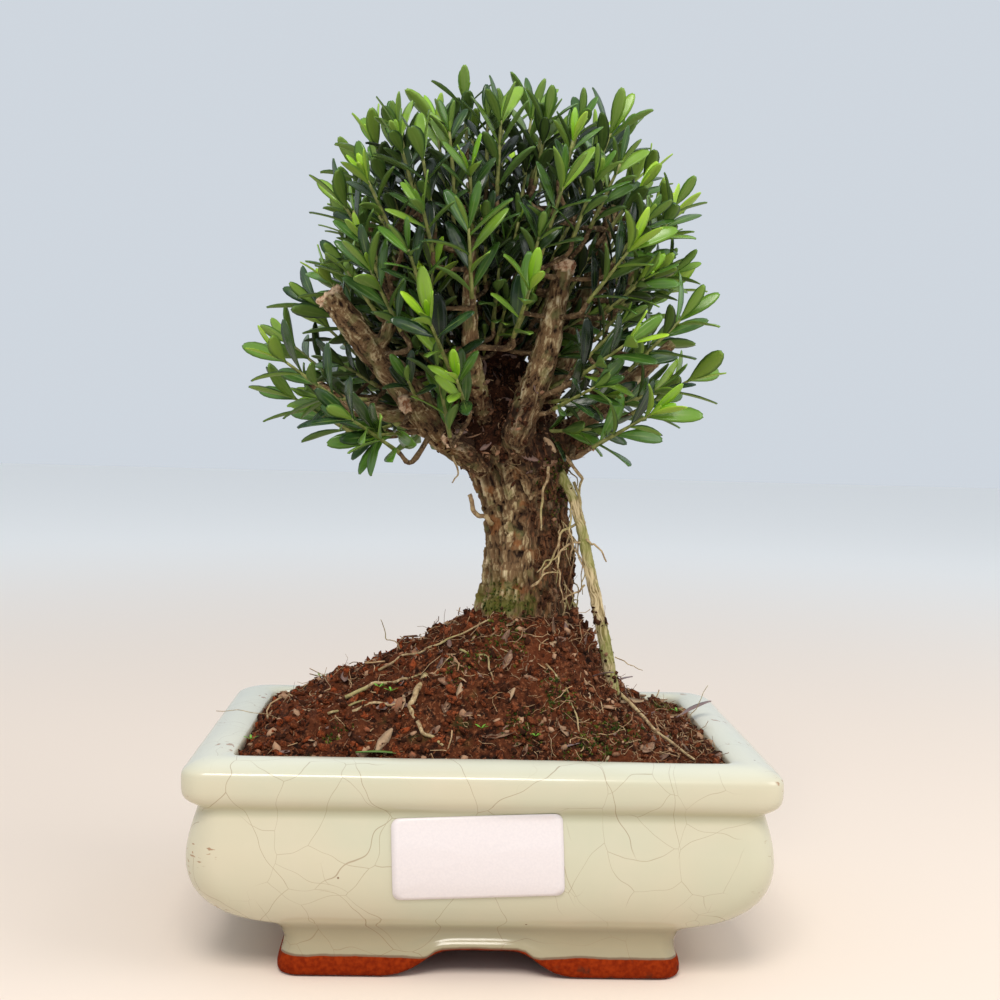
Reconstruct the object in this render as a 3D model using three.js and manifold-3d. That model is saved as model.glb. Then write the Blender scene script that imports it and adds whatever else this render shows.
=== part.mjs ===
// Harland boxwood bonsai in a glazed rectangular pot, in millimetres.
// X to the right, Y to the back, Z up, origin on the ground under the middle of the pot.
import * as THREE from "three";
import { mergeVertices } from "three/addons/utils/BufferGeometryUtils.js";
import Module from "manifold-3d";

const wasm = await Module();
wasm.setup();
const bonsai = new THREE.Group();

// Vectors as plain [x, y, z] lists
const add = (a, b) => a.map((value, k) => value + b[k]);
const scaled = (a, by) => a.map((value) => value * by);
const minus = (a, b) => add(a, scaled(b, -1));
const dot = (a, b) => a[0] * b[0] + a[1] * b[1] + a[2] * b[2];
const cross = (a, b) => [
  a[1] * b[2] - a[2] * b[1],
  a[2] * b[0] - a[0] * b[2],
  a[0] * b[1] - a[1] * b[0],
];
const unit = (a) => scaled(a, 1 / Math.hypot(...a));
const between = (a, b, share) => add(scaled(a, 1 - share), scaled(b, share));

// A seeded draw, so that the plant grows the same each time
let seed = 4211;
function chance() {
  seed = (seed * 16807) % 2147483647;
  return seed / 2147483647;
}
const spread = (low, high) => low + (high - low) * chance();

// A closed geometry as a solid that can be joined and cut
function solidOf(geometry) {
  geometry.deleteAttribute("normal");
  geometry.deleteAttribute("uv");
  const merged = mergeVertices(geometry);
  return new wasm.Manifold(
    new wasm.Mesh({
      numProp: 3,
      vertProperties: new Float32Array(merged.attributes.position.array),
      triVerts: new Uint32Array(merged.index.array),
    }),
  );
}

// A closed solid from corner points and three-cornered faces, turned outward if it was wound inward
function solid(points, faces) {
  const build = (turned) => {
    const geometry = new THREE.BufferGeometry();
    geometry.setAttribute("position", new THREE.Float32BufferAttribute(points.flat(), 3));
    geometry.setIndex(turned.flat());
    return solidOf(geometry);
  };
  const made = build(faces);
  return made.volume() > 0 ? made : build(faces.map(([a, b, c]) => [a, c, b]));
}

// A solid through a row of rings that all have the same number of points, with flat ends
function loft(rings) {
  const count = rings[0].length;
  const last = (rings.length - 1) * count;
  const faces = [];
  for (let level = 0; level + 1 < rings.length; level++) {
    for (let i = 0; i < count; i++) {
      const here = level * count + i;
      const next = level * count + ((i + 1) % count);
      faces.push([here, next, next + count], [here, next + count, here + count]);
    }
  }
  for (let i = 1; i + 1 < count; i++) {
    faces.push([0, i + 1, i], [last, last + i, last + i + 1]);
  }
  return solid(rings.flat(), faces);
}

const joined = (solids) => solids.reduce((whole, one) => whole.add(one));

// A named node of the part
function node(name, made, colour, roughness) {
  const mesh = made.getMesh();
  const geometry = new THREE.BufferGeometry();
  geometry.setAttribute("position", new THREE.BufferAttribute(mesh.vertProperties, 3));
  geometry.setIndex(new THREE.BufferAttribute(mesh.triVerts, 1));
  geometry.computeVertexNormals();
  const material = new THREE.MeshStandardMaterial({ color: colour, roughness, metalness: 0 });
  const piece = new THREE.Mesh(geometry, material);
  piece.name = name;
  bonsai.add(piece);
}

// Pot: a thick ceramic casting with a rolled lip, a groove, a bulged body and a foot skirt
const potHalfWidth = 92;
const potHalfDepth = 68;
const potHeight = 68;
const floorTop = 23.5;
const floorUnder = 14.5;
const seat = 0.35;

// A rounded rectangle at one height, with extra points along its sides when the soil needs them
function roundedRing(halfX, halfY, corner, z, steps = 3, alongX = 1, alongY = 1) {
  const points = [];
  const centres = [
    [halfX - corner, halfY - corner],
    [corner - halfX, halfY - corner],
    [corner - halfX, corner - halfY],
    [halfX - corner, corner - halfY],
  ];
  centres.forEach(([cx, cy], quarter) => {
    for (let step = 0; step <= steps; step++) {
      const angle = (Math.PI / 2) * (quarter + step / steps);
      points.push([cx + corner * Math.cos(angle), cy + corner * Math.sin(angle), z]);
    }
    const [nextX, nextY] = centres[(quarter + 1) % 4];
    const along = quarter % 2 ? alongY : alongX;
    const from = points.at(-1);
    const angle = (Math.PI / 2) * (quarter + 1);
    const to = [nextX + corner * Math.cos(angle), nextY + corner * Math.sin(angle), z];
    for (let k = 1; k < along; k++) points.push(between(from, to, k / along));
  });
  return points;
}

// Outer wall from the ground up: half width, half depth, corner radius, height
const footHalfWidth = 62;
const footHalfDepth = 59;
const outerWall = [
  [footHalfWidth, footHalfDepth, 6, 0],
  [footHalfWidth + 1, footHalfDepth + 1, 7, 1.2],
  [footHalfWidth + 0.8, footHalfDepth + 0.8, 7, 5.6],
  [footHalfWidth - 1, footHalfDepth - 1, 6, 6.8],
  [footHalfWidth - 1.6, footHalfDepth - 1.6, 6, 15.6],
  [74, 59, 11, 16.4],
  [83, 62.6, 13, 19.4],
  [88.6, 65.6, 13, 25],
  [90.8, 66.9, 12, 31],
  [91.2, 67, 11, 37],
  [90.4, 66.6, 11, 43],
  [88.8, 65.4, 10, 48.6],
  [87.4, 64.4, 9, 52.4],
  [88.8, 65.2, 8, 53.8],
  [91.4, 67.4, 7, 55.8],
  [potHalfWidth, potHalfDepth, 7, 58.4],
  [potHalfWidth, potHalfDepth, 7, 63.2],
  [91.2, 67.2, 6.5, 65.2],
  [86, 62, 6, potHeight],
];
// Inner wall from the lip down to the floor
const innerWall = [
  [78.6, 55.4, 5, 67.6],
  [77, 54, 5, 66],
  [76.8, 53.8, 6, 60],
  [79.4, 56.4, 9, 50],
  [80.4, 57.4, 12, 36],
  [77, 54, 13, 27],
  [70, 47, 12, floorTop],
];
const footWall = 8;
const footHollow = [
  [footHalfWidth - footWall, footHalfDepth - footWall, 5, floorUnder],
  [footHalfWidth - footWall, footHalfDepth - footWall, 5, 0],
];

// Half of the arch between two feet, from its foot line to its top: share of the half width, height
const archOutline = [
  [1, -1],
  [0.95, 0.8],
  [0.8, 2.4],
  [0.68, 4.6],
  [0.58, 7.4],
  [0.45, 8.8],
];
const archReach = 80;
function archCutter(halfWidth, turn) {
  const half = archOutline.map(([share, z]) => new THREE.Vector2(share * halfWidth, z));
  const mirrored = half.map(({ x, y }) => new THREE.Vector2(-x, y)).reverse();
  const bar = new THREE.ExtrudeGeometry(new THREE.Shape([...half, ...mirrored]), {
    depth: 2 * archReach,
    bevelEnabled: false,
  });
  return solidOf(bar.translate(0, 0, -archReach).rotateX(Math.PI / 2).rotateZ(turn));
}

const drainRadius = 8;
const drainOffset = 38;
function drainHole(x) {
  const plug = new THREE.CylinderGeometry(drainRadius, drainRadius, 2 * floorTop, 16);
  return solidOf(plug.rotateX(Math.PI / 2).translate(x, 0, floorTop));
}

const potRings = [...footHollow, ...outerWall, ...innerWall].map((size) => roundedRing(...size));
const pot = loft(potRings)
  .subtract(archCutter(26, 0))
  .subtract(archCutter(20, Math.PI / 2))
  .subtract(drainHole(-drainOffset))
  .subtract(drainHole(drainOffset));
node("pot", pot, 0xcfd3b4, 0.25);

// Label: a blank paper sticker that follows the bulge of the pot's front, turned a little
const labelWidth = 52;
const labelHeight = 24.6;
const labelMiddle = [-1.7, 40.1];
const labelTurn = 0.046;
const labelThickness = 0.6;
const labelRows = 12;
function frontOfPot(z) {
  const above = outerWall.findIndex((size) => size[3] >= z);
  const [low, high] = [outerWall[above - 1], outerWall[above]];
  return -(low[1] + ((high[1] - low[1]) * (z - low[3])) / (high[3] - low[3]));
}
const labelRings = [];
for (let row = 0; row <= labelRows; row++) {
  const up = labelHeight * (row / labelRows - 0.5);
  const place = (across, out) => {
    const z = labelMiddle[1] + up * Math.cos(labelTurn) + across * Math.sin(labelTurn);
    const x = labelMiddle[0] + across * Math.cos(labelTurn) - up * Math.sin(labelTurn);
    return [x, frontOfPot(z) - out, z];
  };
  const half = labelWidth / 2;
  labelRings.push([
    place(-half, seat),
    place(-half, seat + labelThickness),
    place(half, seat + labelThickness),
    place(half, seat),
  ]);
}
node("label", loft(labelRings), 0xf4efee, 0.6);

// Trunk: a stout upright stem with ridged bark, wider at its foot and at the head where the boughs leave
const trunkSides = 24;
// Height, middle X, half width, half depth, depth of the ridges
const trunkLevels = [
  [78, 15, 11, 10, 0],
  [92, 15, 15, 13.5, 0],
  [103, 15, 17.4, 15.6, 0.5],
  [108, 15, 16.6, 14.8, 1.3],
  [116, 15, 15.7, 14, 1.6],
  [124, 14.8, 15.4, 13.6, 1.7],
  [132, 14.4, 14.6, 13.2, 1.7],
  [140, 14.2, 14.2, 13, 1.7],
  [147, 13.4, 15, 13.4, 1.7],
  [153, 12.4, 16.6, 14.4, 1.6],
  [158, 10.4, 19.4, 16.2, 1.5],
  [163, 8.6, 21.6, 17.6, 1.5],
  [168, 8, 20.4, 17, 1.5],
  [173, 8, 15.5, 13.4, 1.2],
  [178, 8, 8, 7, 0],
];
const ridgeLean = Array.from({ length: trunkSides }, () => spread(0.4, 1.6));
function trunkStem(grown) {
  return loft(
    trunkLevels.map(([z, middle, halfX, halfY, ridge]) =>
      ridgeLean.map((lean, i) => {
        const angle = (2 * Math.PI * i) / trunkSides + z * 0.004;
        const groove = (i % 2 ? -1 : 0.5) * ridge * lean;
        const lump = ridge * Math.sin(3 * angle + z / 9);
        const out = groove + 0.7 * lump + grown;
        return [middle + (halfX + out) * Math.cos(angle), (halfY + out) * Math.sin(angle), z];
      }),
    ),
  );
}

// A round limb along a path, thick at its start and thin at its end
function limb(path, thick, thin, sides, knobs = 0) {
  const rings = [];
  let side = null;
  path.forEach((point, k) => {
    const before = path[Math.max(k - 1, 0)];
    const after = path[Math.min(k + 1, path.length - 1)];
    const along = unit(minus(after, before));
    const guess = side ?? (Math.abs(along[2]) > 0.8 ? [1, 0, 0] : [0, 0, 1]);
    side = unit(minus(guess, scaled(along, dot(guess, along))));
    const across = cross(along, side);
    const radius = thick + ((thin - thick) * k) / (path.length - 1);
    const ring = [];
    for (let i = 0; i < sides; i++) {
      const angle = (2 * Math.PI * i) / sides;
      const out = knobs ? radius * (1 + knobs * (chance() - 0.5)) : radius;
      const offset = add(scaled(side, out * Math.cos(angle)), scaled(across, out * Math.sin(angle)));
      ring.push(add(point, offset));
    }
    rings.push(ring);
  });
  return loft(rings);
}

// Boughs, each as its path from inside the head, with its start and end radius
const boughs = [
  // the two sawn stumps at the front, and the stub on the left one
  { path: [[0, -8, 158], [-16, -15, 168], [-30, -16, 184], [-42, -17, 197], [-54, -18, 212]], size: [7.2, 4.9] },
  { path: [[10, -8, 160], [10, -20, 171], [17, -21, 192], [20, -21, 208], [23, -21, 225]], size: [6.6, 3.9] },
  { path: [[-38, -17, 192], [-34, -20, 201], [-32, -20, 209]], size: [2.8, 2.2] },
  // the low ones at the sides, and the knob on the right
  { path: [[-4, -4, 160], [-23, -5, 170], [-36, -4, 174], [-49, -3, 178], [-62, -2, 184]], size: [4.2, 1.9] },
  { path: [[18, -4, 163], [35, -5, 175], [51, -5, 189], [62, -5, 200]], size: [4.2, 1.9] },
  { path: [[18, -4, 160], [28, -5, 164], [35, -5, 167]], size: [5.4, 3.6] },
  // the upright ones inside the crown
  { path: [[4, 2, 165], [-14, 6, 190], [-32, 4, 214], [-42, 2, 238]], size: [5, 2] },
  { path: [[8, 4, 165], [4, 4, 196], [-4, -2, 226], [-8, -4, 252]], size: [5.4, 2] },
  { path: [[14, 4, 165], [26, 4, 196], [35, 0, 224], [41, -2, 246]], size: [5, 2] },
  // the ones at the back
  { path: [[4, 8, 165], [-12, 24, 186], [-28, 33, 205], [-40, 35, 221]], size: [4.6, 1.8] },
  { path: [[14, 8, 165], [26, 24, 188], [38, 31, 207], [50, 33, 222]], size: [4.6, 1.8] },
  { path: [[8, 10, 165], [8, 27, 192], [6, 34, 220], [4, 34, 242]], size: [4.6, 1.8] },
  // a forward one between the stumps
  { path: [[2, -6, 165], [-6, -24, 188], [-8, -34, 208], [-8, -36, 226]], size: [4, 1.8] },
];
const boughSides = 6;

// Everything that has grown so far, as balls: a new leaf keeps clear of those of other nodes
const grown = [];
function claim(from, to, startRadius, endRadius, owner) {
  const steps = Math.max(1, Math.ceil(Math.hypot(...minus(to, from)) / 2.5));
  for (let k = 0; k <= steps; k++) {
    const share = k / steps;
    const radius = startRadius + (endRadius - startRadius) * share;
    grown.push({ at: between(from, to, share), radius, owner });
  }
}
// The two big sawn stumps stay in sight, and so does the dark fork between them: no shoot and no leaf
// hangs in front of them
const stumpWindow = 8;
const stumpPoints = [[2, -10, 168], [2, -10, 178], [1, -10, 188]];
for (const { path } of boughs.slice(0, 2)) {
  for (let k = 0; k + 1 < path.length; k++) {
    for (let step = 0; step < 3; step++) stumpPoints.push(between(path[k], path[k + 1], step / 3));
  }
}
const footholds = [];
for (const { path, size } of boughs) {
  for (let k = 0; k + 1 < path.length; k++) {
    const radiusAt = (share) => size[0] + ((size[1] - size[0]) * (k + share)) / (path.length - 1);
    claim(path[k], path[k + 1], radiusAt(0), radiusAt(1), "trunk");
    for (let step = 0; step < 4; step++) {
      if (k > 0) footholds.push(between(path[k], path[k + 1], (step + 0.5) / 4));
    }
  }
}

// The crown: leaf tips lie on a rounded shape round its heart, flatter below than above, and drawn in
// above its side lobes, most of all on the left
const heart = [-2, 0, 205];
const crownWidth = 84;
const crownDepth = 66;
const crownRise = 87;
const crownDrop = 44;
const crownBoxiness = 3;
const drawnInLeft = 22;
const drawnInRight = 8;
const drawnInFrom = 0.35;
function crownReach(out) {
  const rise = Math.min(1, Math.max(0, out[2]) / drawnInFrom);
  const width = crownWidth - rise * (out[0] < 0 ? drawnInLeft : drawnInRight);
  const sizes = [width, crownDepth, out[2] > 0 ? crownRise : crownDrop];
  const sum = out.reduce((total, value, k) => total + (Math.abs(value) / sizes[k]) ** crownBoxiness, 0);
  return sum ** (-1 / crownBoxiness);
}

// Sprays: each a straight green stem with opposite pairs of leaves, every pair turned a quarter
const sprayCount = 42;
const goldenAngle = Math.PI * (3 - Math.sqrt(5));
const lowestSine = -0.36;
const joint = 0.3;
const pairsPerSpray = 4;
const pairSpacing = 6.4;
const leafLength = 16.5;
const leafHalfWidth = 2.9;
const leafRib = 0.8;
const leafBall = 2.3;
const stemClearance = 0.6;
const shortestBranchlet = 8;

// One leaf: a keeled blade that widens towards a blunt tip, its root inside the stem
function leaf(root, along, upper, length, bend) {
  const side = cross(along, upper);
  const at = (share, across, lift) =>
    add(
      add(root, scaled(along, length * share)),
      add(scaled(side, across), scaled(upper, lift - bend * share * share)),
    );
  const points = [root];
  for (const [share, width] of [[0.36, 0.62], [0.76, 1]]) {
    const across = leafHalfWidth * width;
    points.push(at(share, -across, leafRib / 2), at(share, across, leafRib / 2), at(share, 0, -leafRib / 2));
  }
  points.push(at(1, -leafHalfWidth * 0.42, 0), at(1, leafHalfWidth * 0.42, 0));
  const faces = [];
  for (let i = 0; i < 3; i++) {
    const next = (i + 1) % 3;
    faces.push([0, 1 + next, 1 + i], [1 + i, 1 + next, 4 + next], [1 + i, 4 + next, 4 + i]);
  }
  faces.push([4, 5, 8], [4, 8, 7], [5, 6, 8], [6, 7, 8], [6, 4, 7]);
  return solid(points, faces);
}

// A leaf's balls, and whether they stand clear of the other nodes and inside the pot's plan
function leafBalls(root, along, upper, length, bend) {
  return [0.45, 0.65, 0.85, 1].map((share) =>
    add(add(root, scaled(along, length * share)), scaled(upper, -bend * share * share)),
  );
}
const hidesStump = ([x, y, z]) =>
  y < -12 && stumpPoints.some((point) => Math.hypot(x - point[0], z - point[2]) < stumpWindow);
function isClear(balls, owner) {
  return balls.every(
    (ball) =>
      Math.abs(ball[0]) < potHalfWidth - 2 &&
      Math.abs(ball[1]) < potHalfDepth - 2 &&
      !hidesStump(ball) &&
      grown.every(
        (other) =>
          other.owner === owner ||
          Math.hypot(...minus(ball, other.at)) > leafBall + other.radius,
      ),
  );
}

// Where each spray stands, and the branchlet that carries it: a few places are tried, and the first one
// whose stem and branchlet keep clear of what is there already is taken
function ballsAlong(from, to, radius) {
  const steps = Math.ceil(Math.hypot(...minus(to, from)) / 2);
  return Array.from({ length: steps + 1 }, (_, k) => ({ at: between(from, to, k / steps), radius }));
}
const keepsOff = (balls, owners) =>
  balls.every((ball) =>
    grown.every(
      (other) =>
        !owners(other.owner) ||
        Math.hypot(...minus(ball.at, other.at)) > ball.radius + other.radius + stemClearance,
    ),
  );
function placeSpray(number) {
  const climb = 1 - ((1 - lowestSine) * (number + 0.5)) / sprayCount;
  const level = Math.sqrt(1 - climb * climb);
  for (let attempt = 0; attempt < 14; attempt++) {
    const turn = number * goldenAngle + spread(-0.05, 0.05) * attempt;
    const out = unit([level * Math.cos(turn), level * Math.sin(turn), climb]);
    const axis = unit(add(out, [0, 0, spread(0.45, 0.85)]));
    const stemLength = pairSpacing * (pairsPerSpray - 1) + spread(3, 5);
    const tip = add(heart, scaled(out, crownReach(out) * spread(0.92, 1)));
    const top = minus(tip, scaled(axis, leafLength * 0.9));
    const base = minus(top, scaled(axis, stemLength));
    const cost = (hold) => Math.hypot(...minus(base, hold)) + 1.2 * Math.max(0, hold[2] - base[2] + 5);
    const hold = footholds.reduce((best, one) => (cost(one) < cost(best) ? one : best));
    const distance = Math.hypot(...minus(base, hold));
    const elbow = minus(base, scaled(axis, 0.35 * distance));
    const stem = ballsAlong(add(base, scaled(axis, 2)), top, 1.1);
    const carrier = [...ballsAlong(hold, elbow, 1.6), ...ballsAlong(elbow, base, 1.3)];
    if (distance < shortestBranchlet || stem.some((ball) => hidesStump(ball.at))) continue;
    if (!keepsOff(stem, () => true) || !keepsOff(carrier, (owner) => owner !== "trunk")) continue;
    const name = `spray_${String(sprays.length + 1).padStart(2, "0")}`;
    for (const { at, radius } of carrier) grown.push({ at, radius, owner: "trunk" });
    for (const { at, radius } of stem) grown.push({ at, radius, owner: name });
    branchlets.push([hold, elbow, minus(base, scaled(axis, joint))]);
    sprays.push({ name, axis, base, top, stemLength });
    return;
  }
}
const sprays = [];
const branchlets = [];

// One low spray hangs by itself at the front left, right beside the head
const lowHold = [-18, -14, 168];
const lowBase = [-29, -19, 167];
const lowAxis = unit([-0.5, -0.8, -0.05]);
const lowLength = 13;
const lowTop = add(lowBase, scaled(lowAxis, lowLength));
const lowElbow = minus(lowBase, scaled(lowAxis, 3));
for (const { at, radius } of ballsAlong(lowBase, lowTop, 1.1)) grown.push({ at, radius, owner: "spray_01" });
for (const { at, radius } of ballsAlong(lowElbow, lowBase, 1.3)) grown.push({ at, radius, owner: "trunk" });
branchlets.push([lowHold, lowElbow, minus(lowBase, scaled(lowAxis, joint))]);
sprays.push({ name: "spray_01", axis: lowAxis, base: lowBase, top: lowTop, stemLength: lowLength });
for (let number = 0; number < sprayCount; number++) placeSpray(number);

const stemPaint = [0x2f5a26, 0.5];
for (const { name, axis, base, top, stemLength } of sprays) {
  const side = unit(cross(axis, [0.3, 0.2, 1]));
  const front = cross(axis, side);
  const parts = [limb([base, between(base, top, 0.5), top], 1.1, 0.7, 4)];
  const firstTurn = spread(0, Math.PI);
  for (let pair = 0; pair <= pairsPerSpray; pair++) {
    const isEnd = pair === pairsPerSpray;
    const height = isEnd ? stemLength - 0.6 : 2.5 + pair * pairSpacing;
    const root = add(base, scaled(axis, Math.min(height, stemLength - 0.6)));
    const lean = isEnd ? 0.3 : spread(0.65, 0.95) - 0.06 * pair;
    for (const half of [0, 1]) {
      const length = leafLength * (isEnd ? 0.86 : 1) * spread(0.86, 1.08);
      const bend = isEnd ? 0.2 : spread(0.4, 2.2);
      for (const nudge of [0, 0.4, -0.4, 0.8, -0.8]) {
        const turn = firstTurn + (pair * Math.PI) / 2 + half * Math.PI + nudge;
        const away = add(scaled(side, Math.cos(turn)), scaled(front, Math.sin(turn)));
        const along = add(scaled(axis, Math.cos(lean)), scaled(away, Math.sin(lean)));
        const upper = add(scaled(axis, Math.sin(lean)), scaled(away, -Math.cos(lean)));
        const balls = leafBalls(root, along, upper, length, bend);
        if (!isClear(balls, name)) continue;
        balls.forEach((at) => grown.push({ at, radius: leafBall, owner: name }));
        parts.push(leaf(root, along, upper, length, bend));
        break;
      }
    }
  }
  node(name, joined(parts), ...stemPaint);
}

// The aerial root on the right, from the head down into the soil
const aerialRoot = [
  [22, -9, 160],
  [28, -14, 148],
  [31, -16, 139],
  [34, -17, 126],
  [38, -18, 109],
  [41, -18, 96],
  [44, -18, 80],
  [44.5, -18, 70],
];
const aerialLimb = (grownBy) => limb(aerialRoot, 2 + grownBy, 2.5 + grownBy, 6);

const trunkParts = [trunkStem(0), aerialLimb(0)];
for (const { path, size } of boughs) trunkParts.push(limb(path, ...size, boughSides, 0.22));
for (const path of branchlets) trunkParts.push(limb(path, 1.8, 1.2, 4));
const trunk = joined(trunkParts);
node("trunk", trunk, 0x8c7656, 0.9);

// Soil: a rough mound from the lip up to the trunk, steeper on the right than on the left
const soilEdge = 66.2;
const moundRise = 39.5;
const moundTop = [15, 0];
const trunkReach = 16;
const soilPoints = [2, 8, 5];
const soilHalfWidth = 76.4;
const soilHalfDepth = 53.4;
const rampUp = (share) => Math.sin((Math.PI / 2) * Math.min(1, Math.max(0, share)));
function soilHeight(x, y) {
  const away = Math.hypot(x - moundTop[0], y - moundTop[1]);
  const beyond = Math.max(0, away - trunkReach);
  const leftward = away > 0 ? (1 - (x - moundTop[0]) / away) / 2 : 0;
  const slope = 17 + 32 * leftward;
  const fade = rampUp((soilHalfWidth - Math.abs(x)) / 22) * rampUp((soilHalfDepth - Math.abs(y)) / 22);
  const lumps = 1.3 * Math.sin(x * 0.31 + 1.1) * Math.sin(y * 0.27 + 0.4);
  return soilEdge + (moundRise * Math.exp(-((beyond / slope) ** 1.35)) + lumps) * fade;
}
const buried = innerWall
  .slice(1)
  .reverse()
  .map(([halfX, halfY, corner, z], k) =>
    roundedRing(halfX - seat, halfY - seat, corner, k === 0 ? z + seat : z, ...soilPoints),
  );
const rimRing = buried.at(-1).map(([x, y]) => [x, y]);
const soilRings = [...buried.slice(0, -1), rimRing.map(([x, y]) => [x, y, soilEdge - 1])];
const soilCircles = 11;
for (let circle = 1; circle <= soilCircles; circle++) {
  const share = circle / (soilCircles + 1);
  soilRings.push(
    rimRing.map(([x, y]) => {
      const inward = share ** 0.85;
      const atX = x + (moundTop[0] - x) * inward;
      const atY = y + (moundTop[1] - y) * inward;
      const rough = circle === soilCircles ? 0 : spread(-1.3, 1.3);
      return [atX, atY, soilHeight(atX, atY) + rough];
    }),
  );
}
const soil = loft(soilRings).subtract(trunkStem(seat)).subtract(aerialLimb(seat));
node("soil", soil, 0x5a3826, 1);

export default bonsai;
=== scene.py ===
import math

import bpy
import numpy as np
from mathutils import Matrix, Vector, noise


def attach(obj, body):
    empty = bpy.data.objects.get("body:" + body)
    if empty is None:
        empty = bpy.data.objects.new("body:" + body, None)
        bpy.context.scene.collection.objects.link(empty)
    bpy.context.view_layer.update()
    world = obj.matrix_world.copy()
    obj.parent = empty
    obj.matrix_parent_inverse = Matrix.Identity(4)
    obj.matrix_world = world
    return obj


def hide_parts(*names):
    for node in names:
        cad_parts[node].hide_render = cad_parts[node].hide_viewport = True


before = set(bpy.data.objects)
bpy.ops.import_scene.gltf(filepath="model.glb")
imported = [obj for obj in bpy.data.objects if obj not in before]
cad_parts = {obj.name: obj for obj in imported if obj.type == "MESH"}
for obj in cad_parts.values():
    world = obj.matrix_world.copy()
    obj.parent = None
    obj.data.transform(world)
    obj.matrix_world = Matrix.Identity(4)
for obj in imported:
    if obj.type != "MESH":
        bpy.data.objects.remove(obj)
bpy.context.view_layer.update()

# Pot
# A thick stoneware pot, cast in one: rolled lip, groove, bulged body, and a foot skirt with an arch in
# each side. It was dipped in a pale glaze that has crazed since, and its feet were wiped bare.
mm = 0.001
foot_half_width = 62
foot_half_depth = 59
foot_top = 15.6
floor_under = 14.5
floor_top = 23.5
drain_offset = 38
drain_radius = 8
# Half width, half depth, corner radius, height, from the ground up
outer_wall = [
    (foot_half_width, foot_half_depth, 6, 0),
    (foot_half_width + 1, foot_half_depth + 1, 7, 1.2),
    (foot_half_width + 0.8, foot_half_depth + 0.8, 7, 5.6),
    (foot_half_width - 1, foot_half_depth - 1, 6, 6.8),
    (foot_half_width - 1.6, foot_half_depth - 1.6, 6, foot_top),
    (74, 59, 11, 16.4),
    (83, 62.6, 13, 19.4),
    (88.6, 65.6, 13, 25),
    (90.8, 66.9, 12, 31),
    (91.2, 67, 11, 37),
    (90.4, 66.6, 11, 43),
    (88.8, 65.4, 10, 48.6),
    (87.4, 64.4, 9, 52.4),
    (87.7, 64.6, 8.6, 53.1),
    (88.8, 65.2, 8, 53.8),
    (91.4, 67.4, 7, 55.8),
    (92, 68, 7, 58.4),
    (92, 68, 7, 62.8),
    (91.8, 67.8, 7, 64.4),
    (90.6, 66.6, 6.6, 65.5),
    (86, 62, 6, 67.6),
    (82, 58.5, 5.5, 68),
]
inner_wall = [
    (78.8, 55.6, 5, 67.7),
    (77.3, 54.3, 5, 66.8),
    (77, 54, 5, 66),
    (76.8, 53.8, 6, 60),
    (79.4, 56.4, 9, 50),
    (80.4, 57.4, 12, 36),
    (77, 54, 13, 27),
    (70, 47, 12, floor_top),
]
foot_hollow = [(54, 51, 5, floor_under), (54, 51, 5, 13), (54, 51, 5, 2), (54.6, 51.6, 5, 0)]
arch_half_width = 26
side_arch_half_width = 20
arch_height = 8.8
arch_outline = [(0, 1), (0.42, 1), (0.5, 0.96), (0.58, 0.84), (0.68, 0.52), (0.8, 0.25), (0.95, 0.06), (1, 0)]


def rounded_ring(half_x, half_y, corner, z, corner_steps=6, along_x=24, along_y=18):
    """The points of a rounded rectangle at one height, anticlockwise."""
    arcs = []
    for quarter, (side_x, side_y) in enumerate([(1, 1), (-1, 1), (-1, -1), (1, -1)]):
        angles = math.pi / 2 * (quarter + np.linspace(0, 1, corner_steps + 1))
        x = side_x * (half_x - corner) + corner * np.cos(angles)
        y = side_y * (half_y - corner) + corner * np.sin(angles)
        arcs.append(np.stack([x, y, np.full_like(x, z)], axis=1))
    points = []
    for quarter, arc in enumerate(arcs):
        steps = along_y if quarter % 2 else along_x
        share = np.linspace(0, 1, steps + 1)[1:-1, None]
        points += [arc, arc[-1] * (1 - share) + arcs[(quarter + 1) % 4][0] * share]
    return np.concatenate(points)


def piece_of(name, points, faces):
    """A new piece from points in millimetres."""
    mesh = bpy.data.meshes.new(name)
    mesh.from_pydata([tuple(mm * value for value in point) for point in points], [], faces)
    piece = bpy.data.objects.new(name, mesh)
    bpy.context.collection.objects.link(piece)
    return piece


def lofted(name, rings):
    """A closed mesh through a row of rings in millimetres, with a fan over each end."""
    count = len(rings[0])
    points = [point for ring in rings for point in ring]
    faces = []
    for level in range(len(rings) - 1):
        low, high = level * count, (level + 1) * count
        faces += [(low + i, low + (i + 1) % count, high + (i + 1) % count, high + i) for i in range(count)]
    last = (len(rings) - 1) * count
    faces += [(len(points), (i + 1) % count, i) for i in range(count)]
    faces += [(len(points) + 1, last + i, last + (i + 1) % count) for i in range(count)]
    points += [np.mean(rings[0], axis=0), np.mean(rings[-1], axis=0)]
    return piece_of(name, points, faces)


def settle(piece):
    """Turns a piece with its modifiers into a plain smooth mesh."""
    depsgraph = bpy.context.evaluated_depsgraph_get()
    mesh = bpy.data.meshes.new_from_object(piece.evaluated_get(depsgraph), depsgraph=depsgraph)
    piece.modifiers.clear()
    piece.data = mesh
    mesh.shade_smooth()
    return piece


def corners_of(piece):
    """The piece's vertices as one array, in metres."""
    spots = np.empty(len(piece.data.vertices) * 3, dtype=np.float32)
    piece.data.vertices.foreach_get("co", spots)
    return spots.reshape(-1, 3).astype(float)


def put_corners(piece, spots):
    """Moves the piece's vertices to new places, in metres."""
    piece.data.vertices.foreach_set("co", spots.astype(np.float32).ravel())
    piece.data.update()


def outward(piece):
    """The piece's vertex normals as one array."""
    return np.array([vertex.normal[:] for vertex in piece.data.vertices])


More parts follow.
